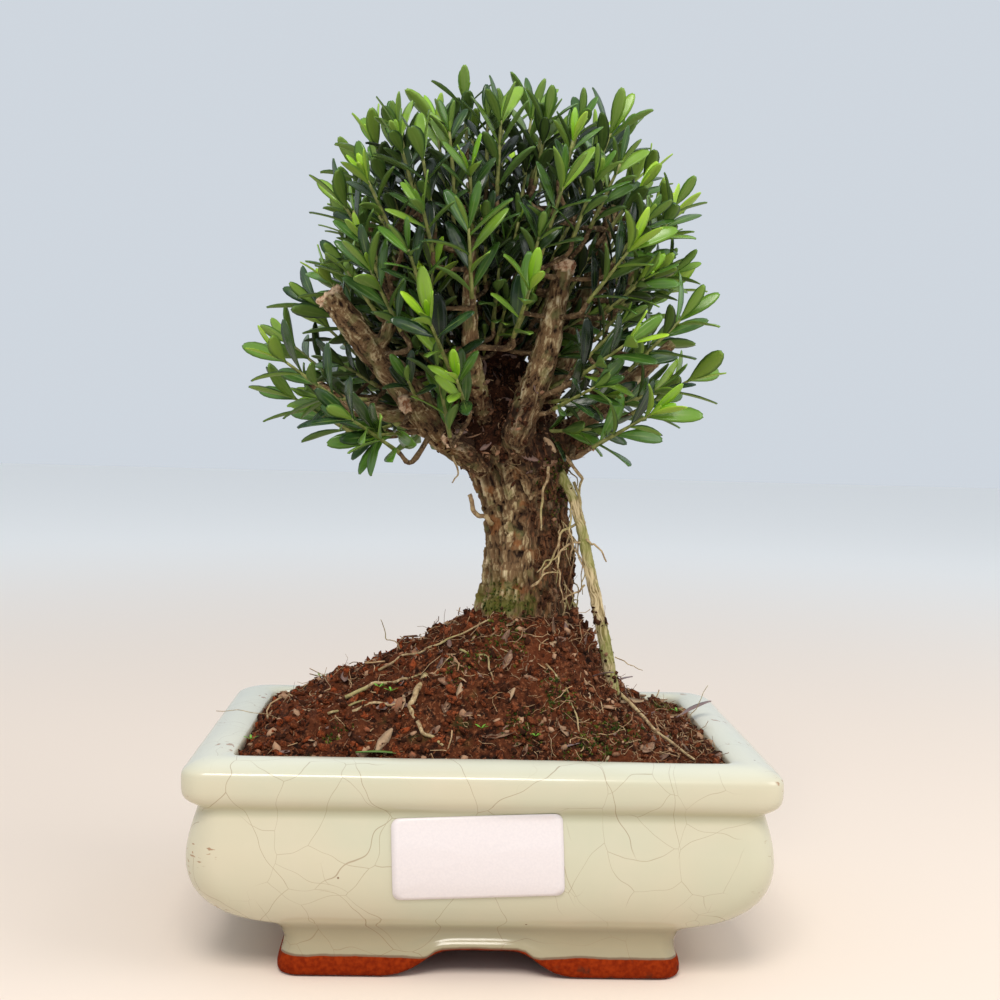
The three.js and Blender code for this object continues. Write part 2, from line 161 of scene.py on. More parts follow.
def pattern(spots, size, seed=0.0):
    """Smooth noise from -1 to 1 at places given in metres, with lumps of that size in millimetres."""
    shift = Vector((seed, seed * 1.7, seed * 0.3))
    return np.array([noise.noise(Vector(spot) / (size * mm) + shift) for spot in spots])


def new_finish(name):
    """An empty material, its node tree, the Principled shader and the Object coordinates."""
    material = bpy.data.materials.new(name)
    material.use_nodes = True
    tree = material.node_tree
    shader = tree.nodes["Principled BSDF"]
    where = tree.nodes.new("ShaderNodeTexCoord").outputs["Object"]
    return material, tree, shader, where


def fill(tree, socket, value):
    """Links a value to a socket, or sets the socket to it."""
    if isinstance(value, bpy.types.NodeSocket):
        tree.links.new(value, socket)
    else:
        socket.default_value = value


def place(tree, kind, inputs, **settings):
    """A node with its settings, its inputs linked or filled in."""
    node = tree.nodes.new(kind)
    for key, value in settings.items():
        setattr(node, key, value)
    for key, value in inputs.items():
        fill(tree, node.inputs[key], value)
    return node


def ramp(tree, value, low, high, start=0.0, end=1.0):
    """A value that runs smoothly from start to end as its input goes from low to high."""
    inputs = {"Value": value, "From Min": low, "From Max": high, "To Min": start, "To Max": end}
    return place(tree, "ShaderNodeMapRange", inputs, interpolation_type="SMOOTHSTEP").outputs["Result"]


def worked_out(tree, operation, *values):
    """The result of one operation on one or two values."""
    return place(tree, "ShaderNodeMath", dict(enumerate(values)), operation=operation).outputs[0]


def times(tree, a, b):
    """The product of two values."""
    return worked_out(tree, "MULTIPLY", a, b)


def plus(tree, a, b):
    """The sum of two values."""
    return worked_out(tree, "ADD", a, b)


def opaque(colour):
    """A colour with its alpha added, where it isn't a socket."""
    return colour if isinstance(colour, bpy.types.NodeSocket) else (*colour, 1)


def tinted(tree, share, under, over):
    """One colour laid over another by a share."""
    inputs = {0: share, 6: opaque(under), 7: opaque(over)}
    return place(tree, "ShaderNodeMix", inputs, data_type="RGBA").outputs[2]


def finish_with(tree, shader, colour, roughness, height=None, depth=0.3, reach=0.0004, gloss=0.5):
    """Wires a colour, a roughness, a gloss and an optional bump height to the shader."""
    fill(tree, shader.inputs["Base Color"], colour)
    fill(tree, shader.inputs["Roughness"], roughness)
    fill(tree, shader.inputs["Specular IOR Level"], gloss)
    if height is not None:
        inputs = {"Strength": depth, "Distance": reach, "Height": height}
        bump = place(tree, "ShaderNodeBump", inputs)
        tree.links.new(bump.outputs["Normal"], shader.inputs["Normal"])


def hand_in(piece, material, slot, *nodes):
    """Gives a finished piece its material and its place in the object."""
    piece.data.materials.clear()
    piece.data.materials.append(material)
    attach(piece, "root")
    if nodes:
        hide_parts(*nodes)


def arch_at(points):
    """How far each point of the foot skirt is lifted by the arches, in millimetres."""
    shares, heights = zip(*arch_outline)
    front = np.interp(np.abs(points[:, 0]) / arch_half_width, shares, heights)
    side = np.interp(np.abs(points[:, 1]) / side_arch_half_width, shares, heights)
    return arch_height * np.maximum(front, side)


def mark(piece, name, values):
    """Stores one value for each vertex, for the shader or the scattering to read."""
    values = np.asarray(values, dtype=np.float32)
    is_single = values.ndim == 1
    layer = piece.data.attributes.get(name)
    layer = layer or piece.data.attributes.new(name, "FLOAT" if is_single else "FLOAT_VECTOR", "POINT")
    layer.data.foreach_set("value" if is_single else "vector", values.ravel())


def marked(tree, name, output="Fac"):
    """A stored value as a shader input."""
    return place(tree, "ShaderNodeAttribute", {}, attribute_name=name).outputs[output]


def foot_ring(size):
    """A ring of the foot skirt, pushed up over the arches."""
    points = rounded_ring(*size)
    lift = arch_at(points)
    points[:, 2] = lift + points[:, 2] * (1 - lift / foot_top)
    return points


pot_rings = [foot_ring(size) if size[3] < 14 else rounded_ring(*size) for size in foot_hollow + outer_wall]
pot_rings = [rounded_ring(30, 24, 4, floor_under)] + pot_rings
pot_rings += [rounded_ring(*size) for size in inner_wall] + [rounded_ring(35, 24, 6, floor_top)]
pot = lofted("glazed_pot", pot_rings)
pot.modifiers.new("smooth walls", "SUBSURF").levels = 1
pot.modifiers["smooth walls"].render_levels = 1
settle(pot)
for side in (-1, 1):
    turns = np.linspace(0, 2 * math.pi, 33)[:-1]
    x = side * drain_offset + drain_radius * np.cos(turns)
    holes = [np.stack([x, drain_radius * np.sin(turns), np.full(32, z)], 1) for z in (5, 40)]
    plug = lofted("drain", holes)
    cut = pot.modifiers.new("drain", "BOOLEAN")
    cut.object = plug
    cut.operation = "DIFFERENCE"
    settle(pot)
    bpy.data.objects.remove(plug)
spots = corners_of(pot)
wobble = 0.22 * pattern(spots, 34, 2.0) + 0.1 * pattern(spots, 11, 5.0)
wobble[spots[:, 2] < 7 * mm] *= 0.3
above_ground = np.minimum(spots[:, 2] / (2 * mm), 1)[:, None]
put_corners(pot, spots + outward(pot) * (wobble * mm)[:, None] * above_ground)


def above_bare_clay(spots):
    """How far each point of the pot lies above the edge of the glaze, both in millimetres."""
    above = np.clip(spots[:, 2] - np.maximum(6.4, arch_at(spots) + 0.7), -6, 6)
    under_floor = (np.abs(spots[:, 0]) < 56) & (np.abs(spots[:, 1]) < 53) & (spots[:, 2] < floor_under + 0.6)
    above[under_floor] = -6
    return above


mark(pot, "glazed", above_bare_clay(spots / mm))


def noise_of(tree, where, scale, detail=3.0, seed=0.0):
    """The strength of a smooth noise, a different one for each seed."""
    inputs = {"Vector": where, "W": seed, "Scale": scale, "Detail": detail}
    return place(tree, "ShaderNodeTexNoise", inputs, noise_dimensions="4D").outputs["Fac"]


def grain_of(tree, where, scale, detail, harshness=0.5):
    """The strength of a noise whose finer parts are as strong as its harshness says."""
    inputs = {"Vector": where, "Scale": scale, "Detail": detail, "Roughness": harshness}
    return place(tree, "ShaderNodeTexNoise", inputs).outputs["Fac"]


def unsigned(tree, value):
    """A value without its sign."""
    return worked_out(tree, "ABSOLUTE", value)


def over_walls(tree, x, y, z):
    """The pot's walls laid out flat: how far along a wall, and how far up it and then inward over its lip."""
    # Opposite walls lie this far apart in the layout, in metres, so that their cracks differ
    wall_shift = 0.4
    layouts = []
    for along, across, lip_from in ((x, y, 0.062), (y, x, 0.086)):
        inward = worked_out(tree, "SUBTRACT", lip_from, unsigned(tree, across))
        over_lip = worked_out(tree, "MAXIMUM", inward, 0.0)
        wall = worked_out(tree, "SIGN", across)
        inputs = {0: plus(tree, along, times(tree, wall, wall_shift)), 1: plus(tree, z, over_lip)}
        layouts.append(place(tree, "ShaderNodeCombineXYZ", inputs).outputs[0])
    is_end_wall = worked_out(tree, "GREATER_THAN", plus(tree, unsigned(tree, x), -0.024), unsigned(tree, y))
    inputs = {0: is_end_wall, 4: layouts[0], 5: layouts[1]}
    return place(tree, "ShaderNodeMix", inputs, data_type="VECTOR").outputs[1]


def crazed(tree, layout, spacing, width, field, presence):
    """Thin cracks round cells of about one size in millimetres, shown where a noise field is strong."""
    inputs = {"Vector": layout, "Scale": 1 / (spacing * mm)}
    node = place(tree, "ShaderNodeTexVoronoi", inputs, voronoi_dimensions="2D", feature="DISTANCE_TO_EDGE")
    line = ramp(tree, node.outputs["Distance"], 0.35 * width / spacing, width / spacing, 1.0, 0.0)
    return times(tree, line, ramp(tree, field, presence - 0.02, presence + 0.05))


celadon, tree, shader, where = new_finish("crazed celadon glaze")
at_x, at_y, at_z = place(tree, "ShaderNodeSeparateXYZ", {0: where}).outputs
stray = place(tree, "ShaderNodeTexNoise", {"Vector": where, "Scale": 26.0, "Detail": 2.5}).outputs["Color"]
inputs = {0: stray, 1: (0.03, 0.03, 0.0), 2: over_walls(tree, at_x, at_y, at_z)}
layout = place(tree, "ShaderNodeVectorMath", inputs, operation="MULTIPLY_ADD").outputs[0]
cracks = times(tree, crazed(tree, layout, 33, 0.15, noise_of(tree, where, 15.0, 2.0, 3.0), 0.42), 0.5)
for spacing, width, scale, presence, strength, seed in ((16, 0.12, 22.0, 0.53, 0.38, 4.0),
                                                        (8, 0.10, 34.0, 0.62, 0.28, 5.0)):
    field = noise_of(tree, where, scale, 2.0, seed)
    more = times(tree, crazed(tree, layout, spacing, width, field, presence), strength)
    cracks = worked_out(tree, "MAXIMUM", cracks, more)
pits = place(tree, "ShaderNodeTexVoronoi", {"Vector": where, "Scale": 140.0})
chosen = place(tree, "ShaderNodeSeparateColor", {0: pits.outputs["Color"]})
is_pit = ramp(tree, chosen.outputs["Red"], 0.87, 0.9)
pit = times(tree, ramp(tree, pits.outputs["Distance"], 0.03, 0.07, 1.0, 0.0), is_pit)
flat_grain = place(tree, "ShaderNodeMapping", {"Vector": where, "Scale": (0.4, 0.4, 1.0)}).outputs[0]
near_end = ramp(tree, unsigned(tree, at_x), 0.058, 0.082)
scuffed = ramp(tree, times(tree, noise_of(tree, where, 60.0, 2.0, 7.0), near_end), 0.56, 0.62)
scuff = times(tree, ramp(tree, noise_of(tree, flat_grain, 800.0, 2.0, 8.0), 0.58, 0.63), scuffed)
mottle = noise_of(tree, where, 60.0, 5.0, 9.0)
clouds = ramp(tree, noise_of(tree, where, 16.0), 0.35, 0.65)
glaze = tinted(tree, clouds, (0.58, 0.53, 0.385), (0.535, 0.525, 0.385))
glaze = tinted(tree, ramp(tree, mottle, 0.45, 0.75, 0.0, 0.35), glaze, (0.62, 0.555, 0.42))
glaze = tinted(tree, ramp(tree, at_z, 0.0635, 0.0685, 0.0, 0.75), glaze, (0.68, 0.69, 0.58))
groove = times(tree, ramp(tree, at_z, 0.0500, 0.0525), ramp(tree, at_z, 0.0535, 0.0560, 1.0, 0.0))
# Painted shade: the glaze is darkened towards the foot, from 17.5 mm down, standing in for the shadow there.
painted_foot_shade = ramp(tree, at_z, 0.0175, 0.0145)
glaze = tinted(tree, times(tree, groove, 0.5), glaze, (0.42, 0.41, 0.26))
glaze = tinted(tree, times(tree, painted_foot_shade, 0.85), glaze, (0.30, 0.25, 0.145))
glaze = tinted(tree, cracks, glaze, (0.21, 0.11, 0.045))
glaze = tinted(tree, times(tree, scuff, 0.8), glaze, (0.30, 0.15, 0.07))
glaze = tinted(tree, pit, glaze, (0.14, 0.06, 0.025))
wiped = times(tree, plus(tree, noise_of(tree, where, 90.0, 3.0, 10.0), -0.5), 1.6)
glazed = plus(tree, marked(tree, "glazed"), wiped)
bare = ramp(tree, glazed, -0.16, 0.16, 1.0, 0.0)
rim_line = times(tree, ramp(tree, glazed, -0.3, 0.1), ramp(tree, glazed, 0.25, 0.8, 1.0, 0.0))
clay_grain = ramp(tree, noise_of(tree, where, 700.0, 4.0, 11.0), 0.3, 0.7)
clay = tinted(tree, clay_grain, (0.16, 0.013, 0.0015), (0.26, 0.028, 0.003))
soot = ramp(tree, noise_of(tree, where, 210.0, 5.0, 12.0), 0.56, 0.66)
clay = tinted(tree, times(tree, soot, 0.7), clay, (0.06, 0.018, 0.009))
body = tinted(tree, bare, glaze, clay)
body = tinted(tree, times(tree, rim_line, 0.75), body, (0.12, 0.05, 0.022))
roughness = ramp(tree, bare, 0.0, 1.0, 0.17, 0.9)
height = plus(tree, mottle, times(tree, cracks, -0.5))
gloss = ramp(tree, bare, 0.0, 1.0, 0.5, 0.06)
finish_with(tree, shader, body, roughness, height, depth=0.12, reach=0.0003, gloss=gloss)
shader.inputs["IOR"].default_value = 1.52
hand_in(pot, celadon, "glaze", "pot")

# Label
# A blank paper sticker with rounded corners, pressed on to the bulge of the pot's front a little askew.
label_half_width = 26
label_half_height = 12.3
label_corner = 2.4
label_middle = (-1.7, 40.1)
label_turn = 0.046
label_gap = 0.12
label_thickness = 0.3


def front_of_pot(z):
    """How far the pot's outer wall stands out in front at a height."""
    return -np.interp(z, [size[3] for size in outer_wall], [size[1] for size in outer_wall])


def label_ring(share, out):
    """One rounded outline on the sticker, shrunk by a share and pressed against the pot."""
    flat = rounded_ring(label_half_width, label_half_height, label_corner, 0, 6, 22, 10) * share
    across, up = flat[:, 0], flat[:, 1]
    x = label_middle[0] + across * math.cos(label_turn) - up * math.sin(label_turn)
    z = label_middle[1] + up * math.cos(label_turn) + across * math.sin(label_turn)
    return np.stack([x, front_of_pot(z) - out, z], axis=1)


label_shares = (0.15, 0.4, 0.6, 0.8, 0.93, 1.0)
label_rings = [label_ring(share, label_gap) for share in label_shares]
label_rings += [label_ring(share, label_gap + label_thickness) for share in reversed(label_shares)]
label = settle(lofted("blank_sticker", label_rings))
paper, tree, shader, where = new_finish("sticker paper")
fibre = grain_of(tree, where, 1400.0, 3.0)
sheet = tinted(tree, ramp(tree, fibre, 0.3, 0.7), (0.70, 0.645, 0.645), (0.735, 0.675, 0.67))
finish_with(tree, shader, sheet, 0.42, fibre, depth=0.05, reach=0.0001)
hand_in(label, paper, "sticker", "label")

# Soil
# A mound of red-brown peaty soil packed up round the trunk, rough with crumbs, fibres and dry bits.
soil_edge = 66.2
mound_rise = 39.5
mound_top = (15, 0)
trunk_reach = 16
soil_half_width = 76.4
soil_half_depth = 53.4


def ramp_up(share):
    """A quarter of a sine wave from 0 to 1."""
    return np.sin(math.pi / 2 * np.clip(share, 0, 1))


def soil_height(x, y):
    """The height of the mound, as in the part's source."""
    away = np.hypot(x - mound_top[0], y - mound_top[1])
    beyond = np.maximum(0, away - trunk_reach)
    leftward = (1 - (x - mound_top[0]) / np.maximum(away, 1e-6)) / 2
    slope = 17 + 32 * leftward
    fade = ramp_up((soil_half_width - np.abs(x)) / 22) * ramp_up((soil_half_depth - np.abs(y)) / 22)
    lumps = 1.3 * np.sin(x * 0.31 + 1.1) * np.sin(y * 0.27 + 0.4)
    return soil_edge + (mound_rise * np.exp(-((beyond / slope) ** 1.35)) + lumps) * fade


soil_steps = (5, 60, 42)
soil_rings = []
for half_x, half_y, corner, z in reversed(inner_wall[2:]):
    soil_rings.append(rounded_ring(half_x + 0.4, half_y + 0.4, corner, z + 0.5, *soil_steps))
rim_ring = soil_rings[-1].copy()
soil_rings[-1][:, 2] = soil_edge - 3
soil_circles = 72
for circle in range(soil_circles):
    inward = (circle / soil_circles) ** 0.92
    ring = rim_ring.copy()
    ring[:, 0] += (mound_top[0] - ring[:, 0]) * inward
    ring[:, 1] += (mound_top[1] - ring[:, 1]) * inward
    ring[:, 2] = soil_height(ring[:, 0], ring[:, 1])
    soil_rings.append(ring)
soil = settle(lofted("peat_mound", soil_rings))
spots = corners_of(soil)
is_top = np.clip((spots[:, 2] - 62 * mm) / (3 * mm), 0, 1)
rough = 1.9 * pattern(spots, 9, 1.0) + 2.8 * pattern(spots, 4.2, 3.0) + 1.2 * pattern(spots, 1.9, 4.0)
near_wall = np.minimum(soil_half_width * mm - np.abs(spots[:, 0]), soil_half_depth * mm - np.abs(spots[:, 1]))
sink = 1.6 * np.clip(1 - near_wall / (5 * mm), 0, 1)
spots[:, 2] += (rough - sink) * mm * is_top
put_corners(soil, spots)


def add_sockets(group, side, kinds):
    """Gives a node group its named inputs or outputs."""
    for name, kind in kinds.items():
        group.interface.new_socket(name=name, in_out=side, socket_type="NodeSocket" + kind)


def mottled_group():
    """A shader group: two noises that turn a dark and a light colour into a mottled one, with a height."""
    group = bpy.data.node_groups.new("mottled", "ShaderNodeTree")
    inputs = {"Vector": "Vector", "Scale": "Float", "Dark": "Color", "Middle": "Color", "Light": "Color"}
    add_sockets(group, "INPUT", inputs)
    add_sockets(group, "OUTPUT", {"Color": "Color", "Height": "Float"})
    given = group.nodes.new("NodeGroupInput").outputs
    result = group.nodes.new("NodeGroupOutput").inputs
    coarse = grain_of(group, given["Vector"], given["Scale"], 6.0, 0.65)
    fine = grain_of(group, given["Vector"], times(group, given["Scale"], 3.1), 4.0, 0.7)
    colour = tinted(group, ramp(group, coarse, 0.38, 0.6), given["Dark"], given["Middle"])
    colour = tinted(group, ramp(group, fine, 0.5, 0.7), colour, given["Light"])
    group.links.new(colour, result["Color"])
    group.links.new(plus(group, coarse, fine), result["Height"])
    return group


mottled = mottled_group()


def mottle_of(tree, where, scale, dark, middle, light):
    """The mottled group placed in a material with its own values."""
    node = tree.nodes.new("ShaderNodeGroup")
    node.node_tree = mottled
    tree.links.new(where, node.inputs["Vector"])
    node.inputs["Scale"].default_value = scale
    for key, value in (("Dark", dark), ("Middle", middle), ("Light", light)):
        node.inputs[key].default_value = opaque(value)
    return node.outputs["Color"], node.outputs["Height"]


peat, tree, shader, where = new_finish("damp peat")
colour, grain = mottle_of(tree, where, 240.0, (0.012, 0.004, 0.002), (0.085, 0.023, 0.008),
                          (0.26, 0.095, 0.040))
patches = grain_of(tree, where, 34.0, 4.0)
colour = tinted(tree, ramp(tree, patches, 0.5, 0.68, 0.0, 0.6), colour, (0.12, 0.030, 0.010))
mossy = grain_of(tree, where, 52.0, 5.0)
colour = tinted(tree, ramp(tree, mossy, 0.62, 0.72, 0.0, 0.55), colour, (0.035, 0.055, 0.012))
finish_with(tree, shader, colour, 0.92, grain, depth=0.8, reach=0.0012, gloss=0.12)
hand_in(soil, peat, "peat", "soil")

# Soil cover
# What lies loose on the mound or grows on it: crumbs of peat, dry root fibres and straws, chips of dead leaf
# and moss. Each kind is a few small patterns that geometry nodes scatter over the mound with a fixed seed.


def pattern_piece(name, points, faces):
    """A small pattern that is scattered, sized in millimetres."""
    mesh = bpy.data.meshes.new(name)
    mesh.from_pydata([tuple(value * mm for value in point) for point in points], [], faces)
    return bpy.data.objects.new(name, mesh)


def clod(name, seed, stretch):
    """An irregular lump about 1 mm across."""
    golden = (1 + math.sqrt(5)) / 2
    corners = [(-1, golden, 0), (1, golden, 0), (-1, -golden, 0), (1, -golden, 0),
               (0, -1, golden), (0, 1, golden), (0, -1, -golden), (0, 1, -golden),
               (golden, 0, -1), (golden, 0, 1), (-golden, 0, -1), (-golden, 0, 1)]
    faces = [(0, 11, 5), (0, 5, 1), (0, 1, 7), (0, 7, 10), (0, 10, 11),
             (1, 5, 9), (5, 11, 4), (11, 10, 2), (10, 7, 6), (7, 1, 8),
             (3, 9, 4), (3, 4, 2), (3, 2, 6), (3, 6, 8), (3, 8, 9),
             (4, 9, 5), (2, 4, 11), (6, 2, 10), (8, 6, 7), (9, 8, 1)]
    points = []
    for corner in corners:
        spot = Vector(corner).normalized() * 0.5
        out = 1 + 0.9 * noise.noise(Vector(corner) * 1.9 + Vector((seed, 3, seed)))
        points.append([spot[k] * out * stretch[k] for k in range(3)])
    return pattern_piece(name, points, faces)


def strand(name, seed, length, thick, wander):
    """A thin three-sided fibre that lies curled on the ground."""
    points, faces = [], []
    steps = 7
    for k in range(steps + 1):
        share = k / steps
        bend_x = wander * noise.noise(Vector((share * 2, seed, 0)))
        bend_z = 0.5 * wander * noise.noise(Vector((share * 2.4, 0, seed)))
        radius = thick * (1 - 0.6 * share)
        for i in range(3):
            angle = 2 * math.pi * i / 3
            y, z = bend_x + radius * math.cos(angle), bend_z + radius * math.sin(angle)
            points.append((length * (share - 0.5), y, z))
    for k in range(steps):
        faces += [(3 * k + i, 3 * k + (i + 1) % 3, 3 * k + 3 + (i + 1) % 3, 3 * k + 3 + i) for i in range(3)]
    faces += [(2, 1, 0), (3 * steps, 3 * steps + 1, 3 * steps + 2)]
    return pattern_piece(name, points, faces)


def chip(name, seed, length, width, curl):
    """A dry curled leaf or a piece of one, thin and closed."""
    points, faces = [], []
    shares = (0, 0.15, 0.4, 0.7, 0.92, 1)
    for share in shares:
        half = width * (math.sin(math.pi * min(0.98, share * 0.9 + 0.06)) ** 0.8)
        half *= 1 + 0.5 * noise.noise(Vector((share * 3, seed, 2)))
        rise = curl * (share - 0.5) ** 2 * 4
        for across, lift in ((-1, 0.35 * half), (0, 0), (1, 0.35 * half), (0, -0.18)):
            points.append((length * (share - 0.5), across * half, rise + lift))
    for k in range(len(shares) - 1):
        a, b = 4 * k, 4 * k + 4
        faces += [(a + i, b + i, b + (i + 1) % 4, a + (i + 1) % 4) for i in range(4)]
    last = 4 * (len(shares) - 1)
    faces += [(0, 1, 2, 3), (last + 3, last + 2, last + 1, last)]
    return pattern_piece(name, points, faces)


def patterns_in(group, collection):
    """The patterns of a collection, as single instances to pick from."""
    inputs = {"Collection": collection, "Separate Children": True, "Reset Children": True}
    return place(group, "GeometryNodeCollectionInfo", inputs).outputs[0]


def ended(group, instances, finish):
    """Ends a tree of geometry nodes: its instances made real and given their material."""
    real = place(group, "GeometryNodeRealizeInstances", {0: instances})
    painted = place(group, "GeometryNodeSetMaterial", {"Geometry": real.outputs[0], "Material": finish})
    group.links.new(painted.outputs[0], group.nodes.new("NodeGroupOutput").inputs[0])
    return group


def scatter_tree():
    """Geometry nodes that scatter a collection's patterns over a mesh where it is marked, at random."""
    group = bpy.data.node_groups.new("scatter bits", "GeometryNodeTree")
    add_sockets(group, "OUTPUT", {"Geometry": "Geometry"})
    add_sockets(group, "INPUT", {"Ground": "Geometry", "Bits": "Collection", "Per square metre": "Float",
                                 "Smallest": "Float", "Largest": "Float", "Tilt": "Float", "Seed": "Int",
                                 "Finish": "Material"})
    given = group.nodes.new("NodeGroupInput").outputs
    cover = place(group, "GeometryNodeInputNamedAttribute", {"Name": "cover"}, data_type="FLOAT").outputs[0]
    density = times(group, given["Per square metre"], cover)
    inputs = {"Mesh": given["Ground"], "Density": density, "Seed": given["Seed"]}
    sown = place(group, "GeometryNodeDistributePointsOnFaces", inputs, distribute_method="RANDOM")
    back = times(group, given["Tilt"], -1.0)
    low = place(group, "ShaderNodeCombineXYZ", {0: back, 1: back, 2: -math.pi})
    high = place(group, "ShaderNodeCombineXYZ", {0: given["Tilt"], 1: given["Tilt"], 2: math.pi})
    inputs = {0: low.outputs[0], 1: high.outputs[0], "Seed": given["Seed"]}
    turn = place(group, "FunctionNodeRandomValue", inputs, data_type="FLOAT_VECTOR").outputs[0]
    turn = place(group, "FunctionNodeEulerToRotation", {0: turn}).outputs[0]
    inputs = {"Rotation": sown.outputs["Rotation"], "Rotate By": turn}
    facing = place(group, "FunctionNodeRotateRotation", inputs, rotation_space="LOCAL").outputs[0]
    inputs = {2: 0.0, 3: 1.0, "Seed": given["Seed"]}
    share = place(group, "FunctionNodeRandomValue", inputs, data_type="FLOAT").outputs[1]
    skewed = times(group, share, share)
    inputs = {"Value": skewed, "To Min": given["Smallest"], "To Max": given["Largest"]}
    size = place(group, "ShaderNodeMapRange", inputs).outputs[0]
    inputs = {"Points": sown.outputs["Points"], "Instance": patterns_in(group, given["Bits"]),
              "Pick Instance": True, "Rotation": facing, "Scale": size}
    placed = place(group, "GeometryNodeInstanceOnPoints", inputs)
    tone = place(group, "FunctionNodeRandomValue", {2: 0.0, 3: 1.0, "Seed": 5}, data_type="FLOAT").outputs[1]
    inputs = {"Geometry": placed.outputs[0], "Name": "tone", "Value": tone}
    toned = place(group, "GeometryNodeStoreNamedAttribute", inputs, data_type="FLOAT", domain="INSTANCE")
    return ended(group, toned.outputs[0], given["Finish"])


def patterned(piece, group, patterns, values):
    """Runs geometry nodes on a piece with its patterns and named inputs, and makes it a plain mesh."""
    kit = bpy.data.collections.new(piece.name + " patterns")
    for one in patterns:
        kit.objects.link(one)
    modifier = piece.modifiers.new(group.name, "NODES")
    modifier.node_group = group
    names = {item.name: item.identifier for item in group.interface.items_tree if item.in_out == "INPUT"}
    for name, value in {"Bits": kit, **values}.items():
        modifier[names[name]] = value
    settle(piece)
    for one in patterns:
        bpy.data.objects.remove(one)
    bpy.data.collections.remove(kit)


scatter = scatter_tree()


def scattered(name, ground, cover, patterns, finish, density, sizes, tilt, seed, slot="peat"):
    """A piece of patterns scattered over the ground where the cover says so, with its material, attached to the
    root.
    """
    piece = bpy.data.objects.new(name, ground.data.copy())
    bpy.context.collection.objects.link(piece)
    mark(piece, "cover", cover)
    values = {"Per square metre": float(density), "Smallest": sizes[0], "Largest": sizes[1], "Tilt": tilt,
              "Seed": seed, "Finish": finish}
    patterned(piece, scatter, patterns, values)
    hand_in(piece, finish, slot)


spots = corners_of(soil) / mm
on_top = (spots[:, 2] > 63.5).astype(float)
lumpy = pattern(spots * mm, 7, 6.0)
upper_or_right = np.maximum((spots[:, 2] - 76) / 30, (spots[:, 0] - 30) / 30)
litter_share = np.clip(0.5 + 1.4 * pattern(spots * mm, 16, 8.0) + upper_or_right, 0.1, 1)

crumb_finish, tree, shader, where = new_finish("peat crumbs")
at_x = place(tree, "ShaderNodeSeparateXYZ", {0: where}).outputs[0]
tone = marked(tree, "tone")
colour, grain = mottle_of(tree, where, 500.0, (0.014, 0.004, 0.002), (0.105, 0.024, 0.007),
                          (0.30, 0.095, 0.036))
reddish = tinted(tree, ramp(tree, at_x, -0.03, 0.03), (0.30, 0.058, 0.015), (0.23, 0.095, 0.047))
red_share = times(tree, ramp(tree, tone, 0.45, 0.85, 0.0, 0.8), ramp(tree, grain, 0.85, 1.15, 0.1, 1.0))
colour = tinted(tree, red_share, colour, reddish)
colour = tinted(tree, ramp(tree, tone, 0.88, 0.96, 0.0, 0.85), colour, (0.44, 0.27, 0.165))
colour = tinted(tree, ramp(tree, tone, 0.24, 0.12, 0.0, 0.75), colour, (0.020, 0.008, 0.004))
finish_with(tree, shader, colour, 0.92, grain, depth=0.5, reach=0.0005, gloss=0.12)


def clods():
    """Six lumps of different shapes."""
    return [clod("clod_%d" % k, 3.1 * k, (1 + 0.5 * (k % 3), 1, 0.55 + 0.25 * (k % 2))) for k in range(6)]


crumb_cover = on_top * np.clip(0.75 + 0.9 * lumpy, 0.25, 1)
scattered("peat_crumbs", soil, crumb_cover, clods(), crumb_finish, 270000, (0.5, 3.3), 1.2, 11)

fibre_finish, tree, shader, where = new_finish("dry root fibre")
tone = marked(tree, "tone")
colour = tinted(tree, ramp(tree, tone, 0.2, 0.75), (0.11, 0.034, 0.014), (0.42, 0.27, 0.14))
speckle = noise_of(tree, where, 600.0)
colour = tinted(tree, ramp(tree, speckle, 0.45, 0.7, 0.0, 0.6), colour, (0.62, 0.47, 0.28))
finish_with(tree, shader, colour, 0.8, speckle, depth=0.2, reach=0.0002, gloss=0.2)
strands = [strand("strand_%d" % k, 5.3 * k, 7 + 2 * k, 0.15 + 0.02 * (k % 3), 2.6 + 0.8 * k) for k in range(5)]
fibre_cover = on_top * np.clip(0.68 + spots[:, 0] / 110, 0.3, 1)
scattered("root_fibres", soil, fibre_cover, strands, fibre_finish, 84000, (0.5, 1.35), 0.5, 23)
straw_zone = np.linalg.norm((spots[:, :2] - (-24, -20)) / (26, 22), axis=1)
straw_cover = on_top * np.clip(1.5 - straw_zone, 0.12, 1)
straws = [strand("straw_%d" % k, 9.7 * k + 1, 12 + 3 * k, 0.32 + 0.05 * k, 3.5 + k) for k in range(4)]
scattered("dry_straws", soil, straw_cover, straws, fibre_finish, 14000, (0.5, 1.15), 0.35, 29)

chip_finish, tree, shader, where = new_finish("dead leaf")
tone = marked(tree, "tone")
colour, grain = mottle_of(tree, where, 300.0, (0.11, 0.045, 0.022), (0.25, 0.13, 0.07), (0.42, 0.28, 0.17))
colour = tinted(tree, ramp(tree, tone, 0.6, 0.9, 0.0, 0.7), colour, (0.48, 0.34, 0.20))
colour = tinted(tree, ramp(tree, tone, 0.3, 0.1, 0.0, 0.7), colour, (0.20, 0.13, 0.12))
finish_with(tree, shader, colour, 0.75, grain, depth=0.3, reach=0.0003)


def chips():
    """Four pieces of dry leaf, from a scrap to a whole one."""
    return [chip("chip_%d" % k, 2.7 * k, 4.5 + 1.8 * k, 0.9 + 0.25 * k, 0.9) for k in range(4)]


scattered("dead_leaves", soil, on_top * litter_share, chips(), chip_finish, 13000, (0.4, 1.05), 0.5, 31)

moss_finish, tree, shader, where = new_finish("moss")
tone = marked(tree, "tone")
colour, grain = mottle_of(tree, where, 700.0, (0.008, 0.022, 0.003), (0.030, 0.075, 0.007), (0.13, 0.20, 0.022))
colour = tinted(tree, ramp(tree, tone, 0.55, 0.95, 0.0, 0.8), colour, (0.20, 0.22, 0.030))
finish_with(tree, shader, colour, 0.9, grain, depth=0.5, reach=0.0004, gloss=0.15)


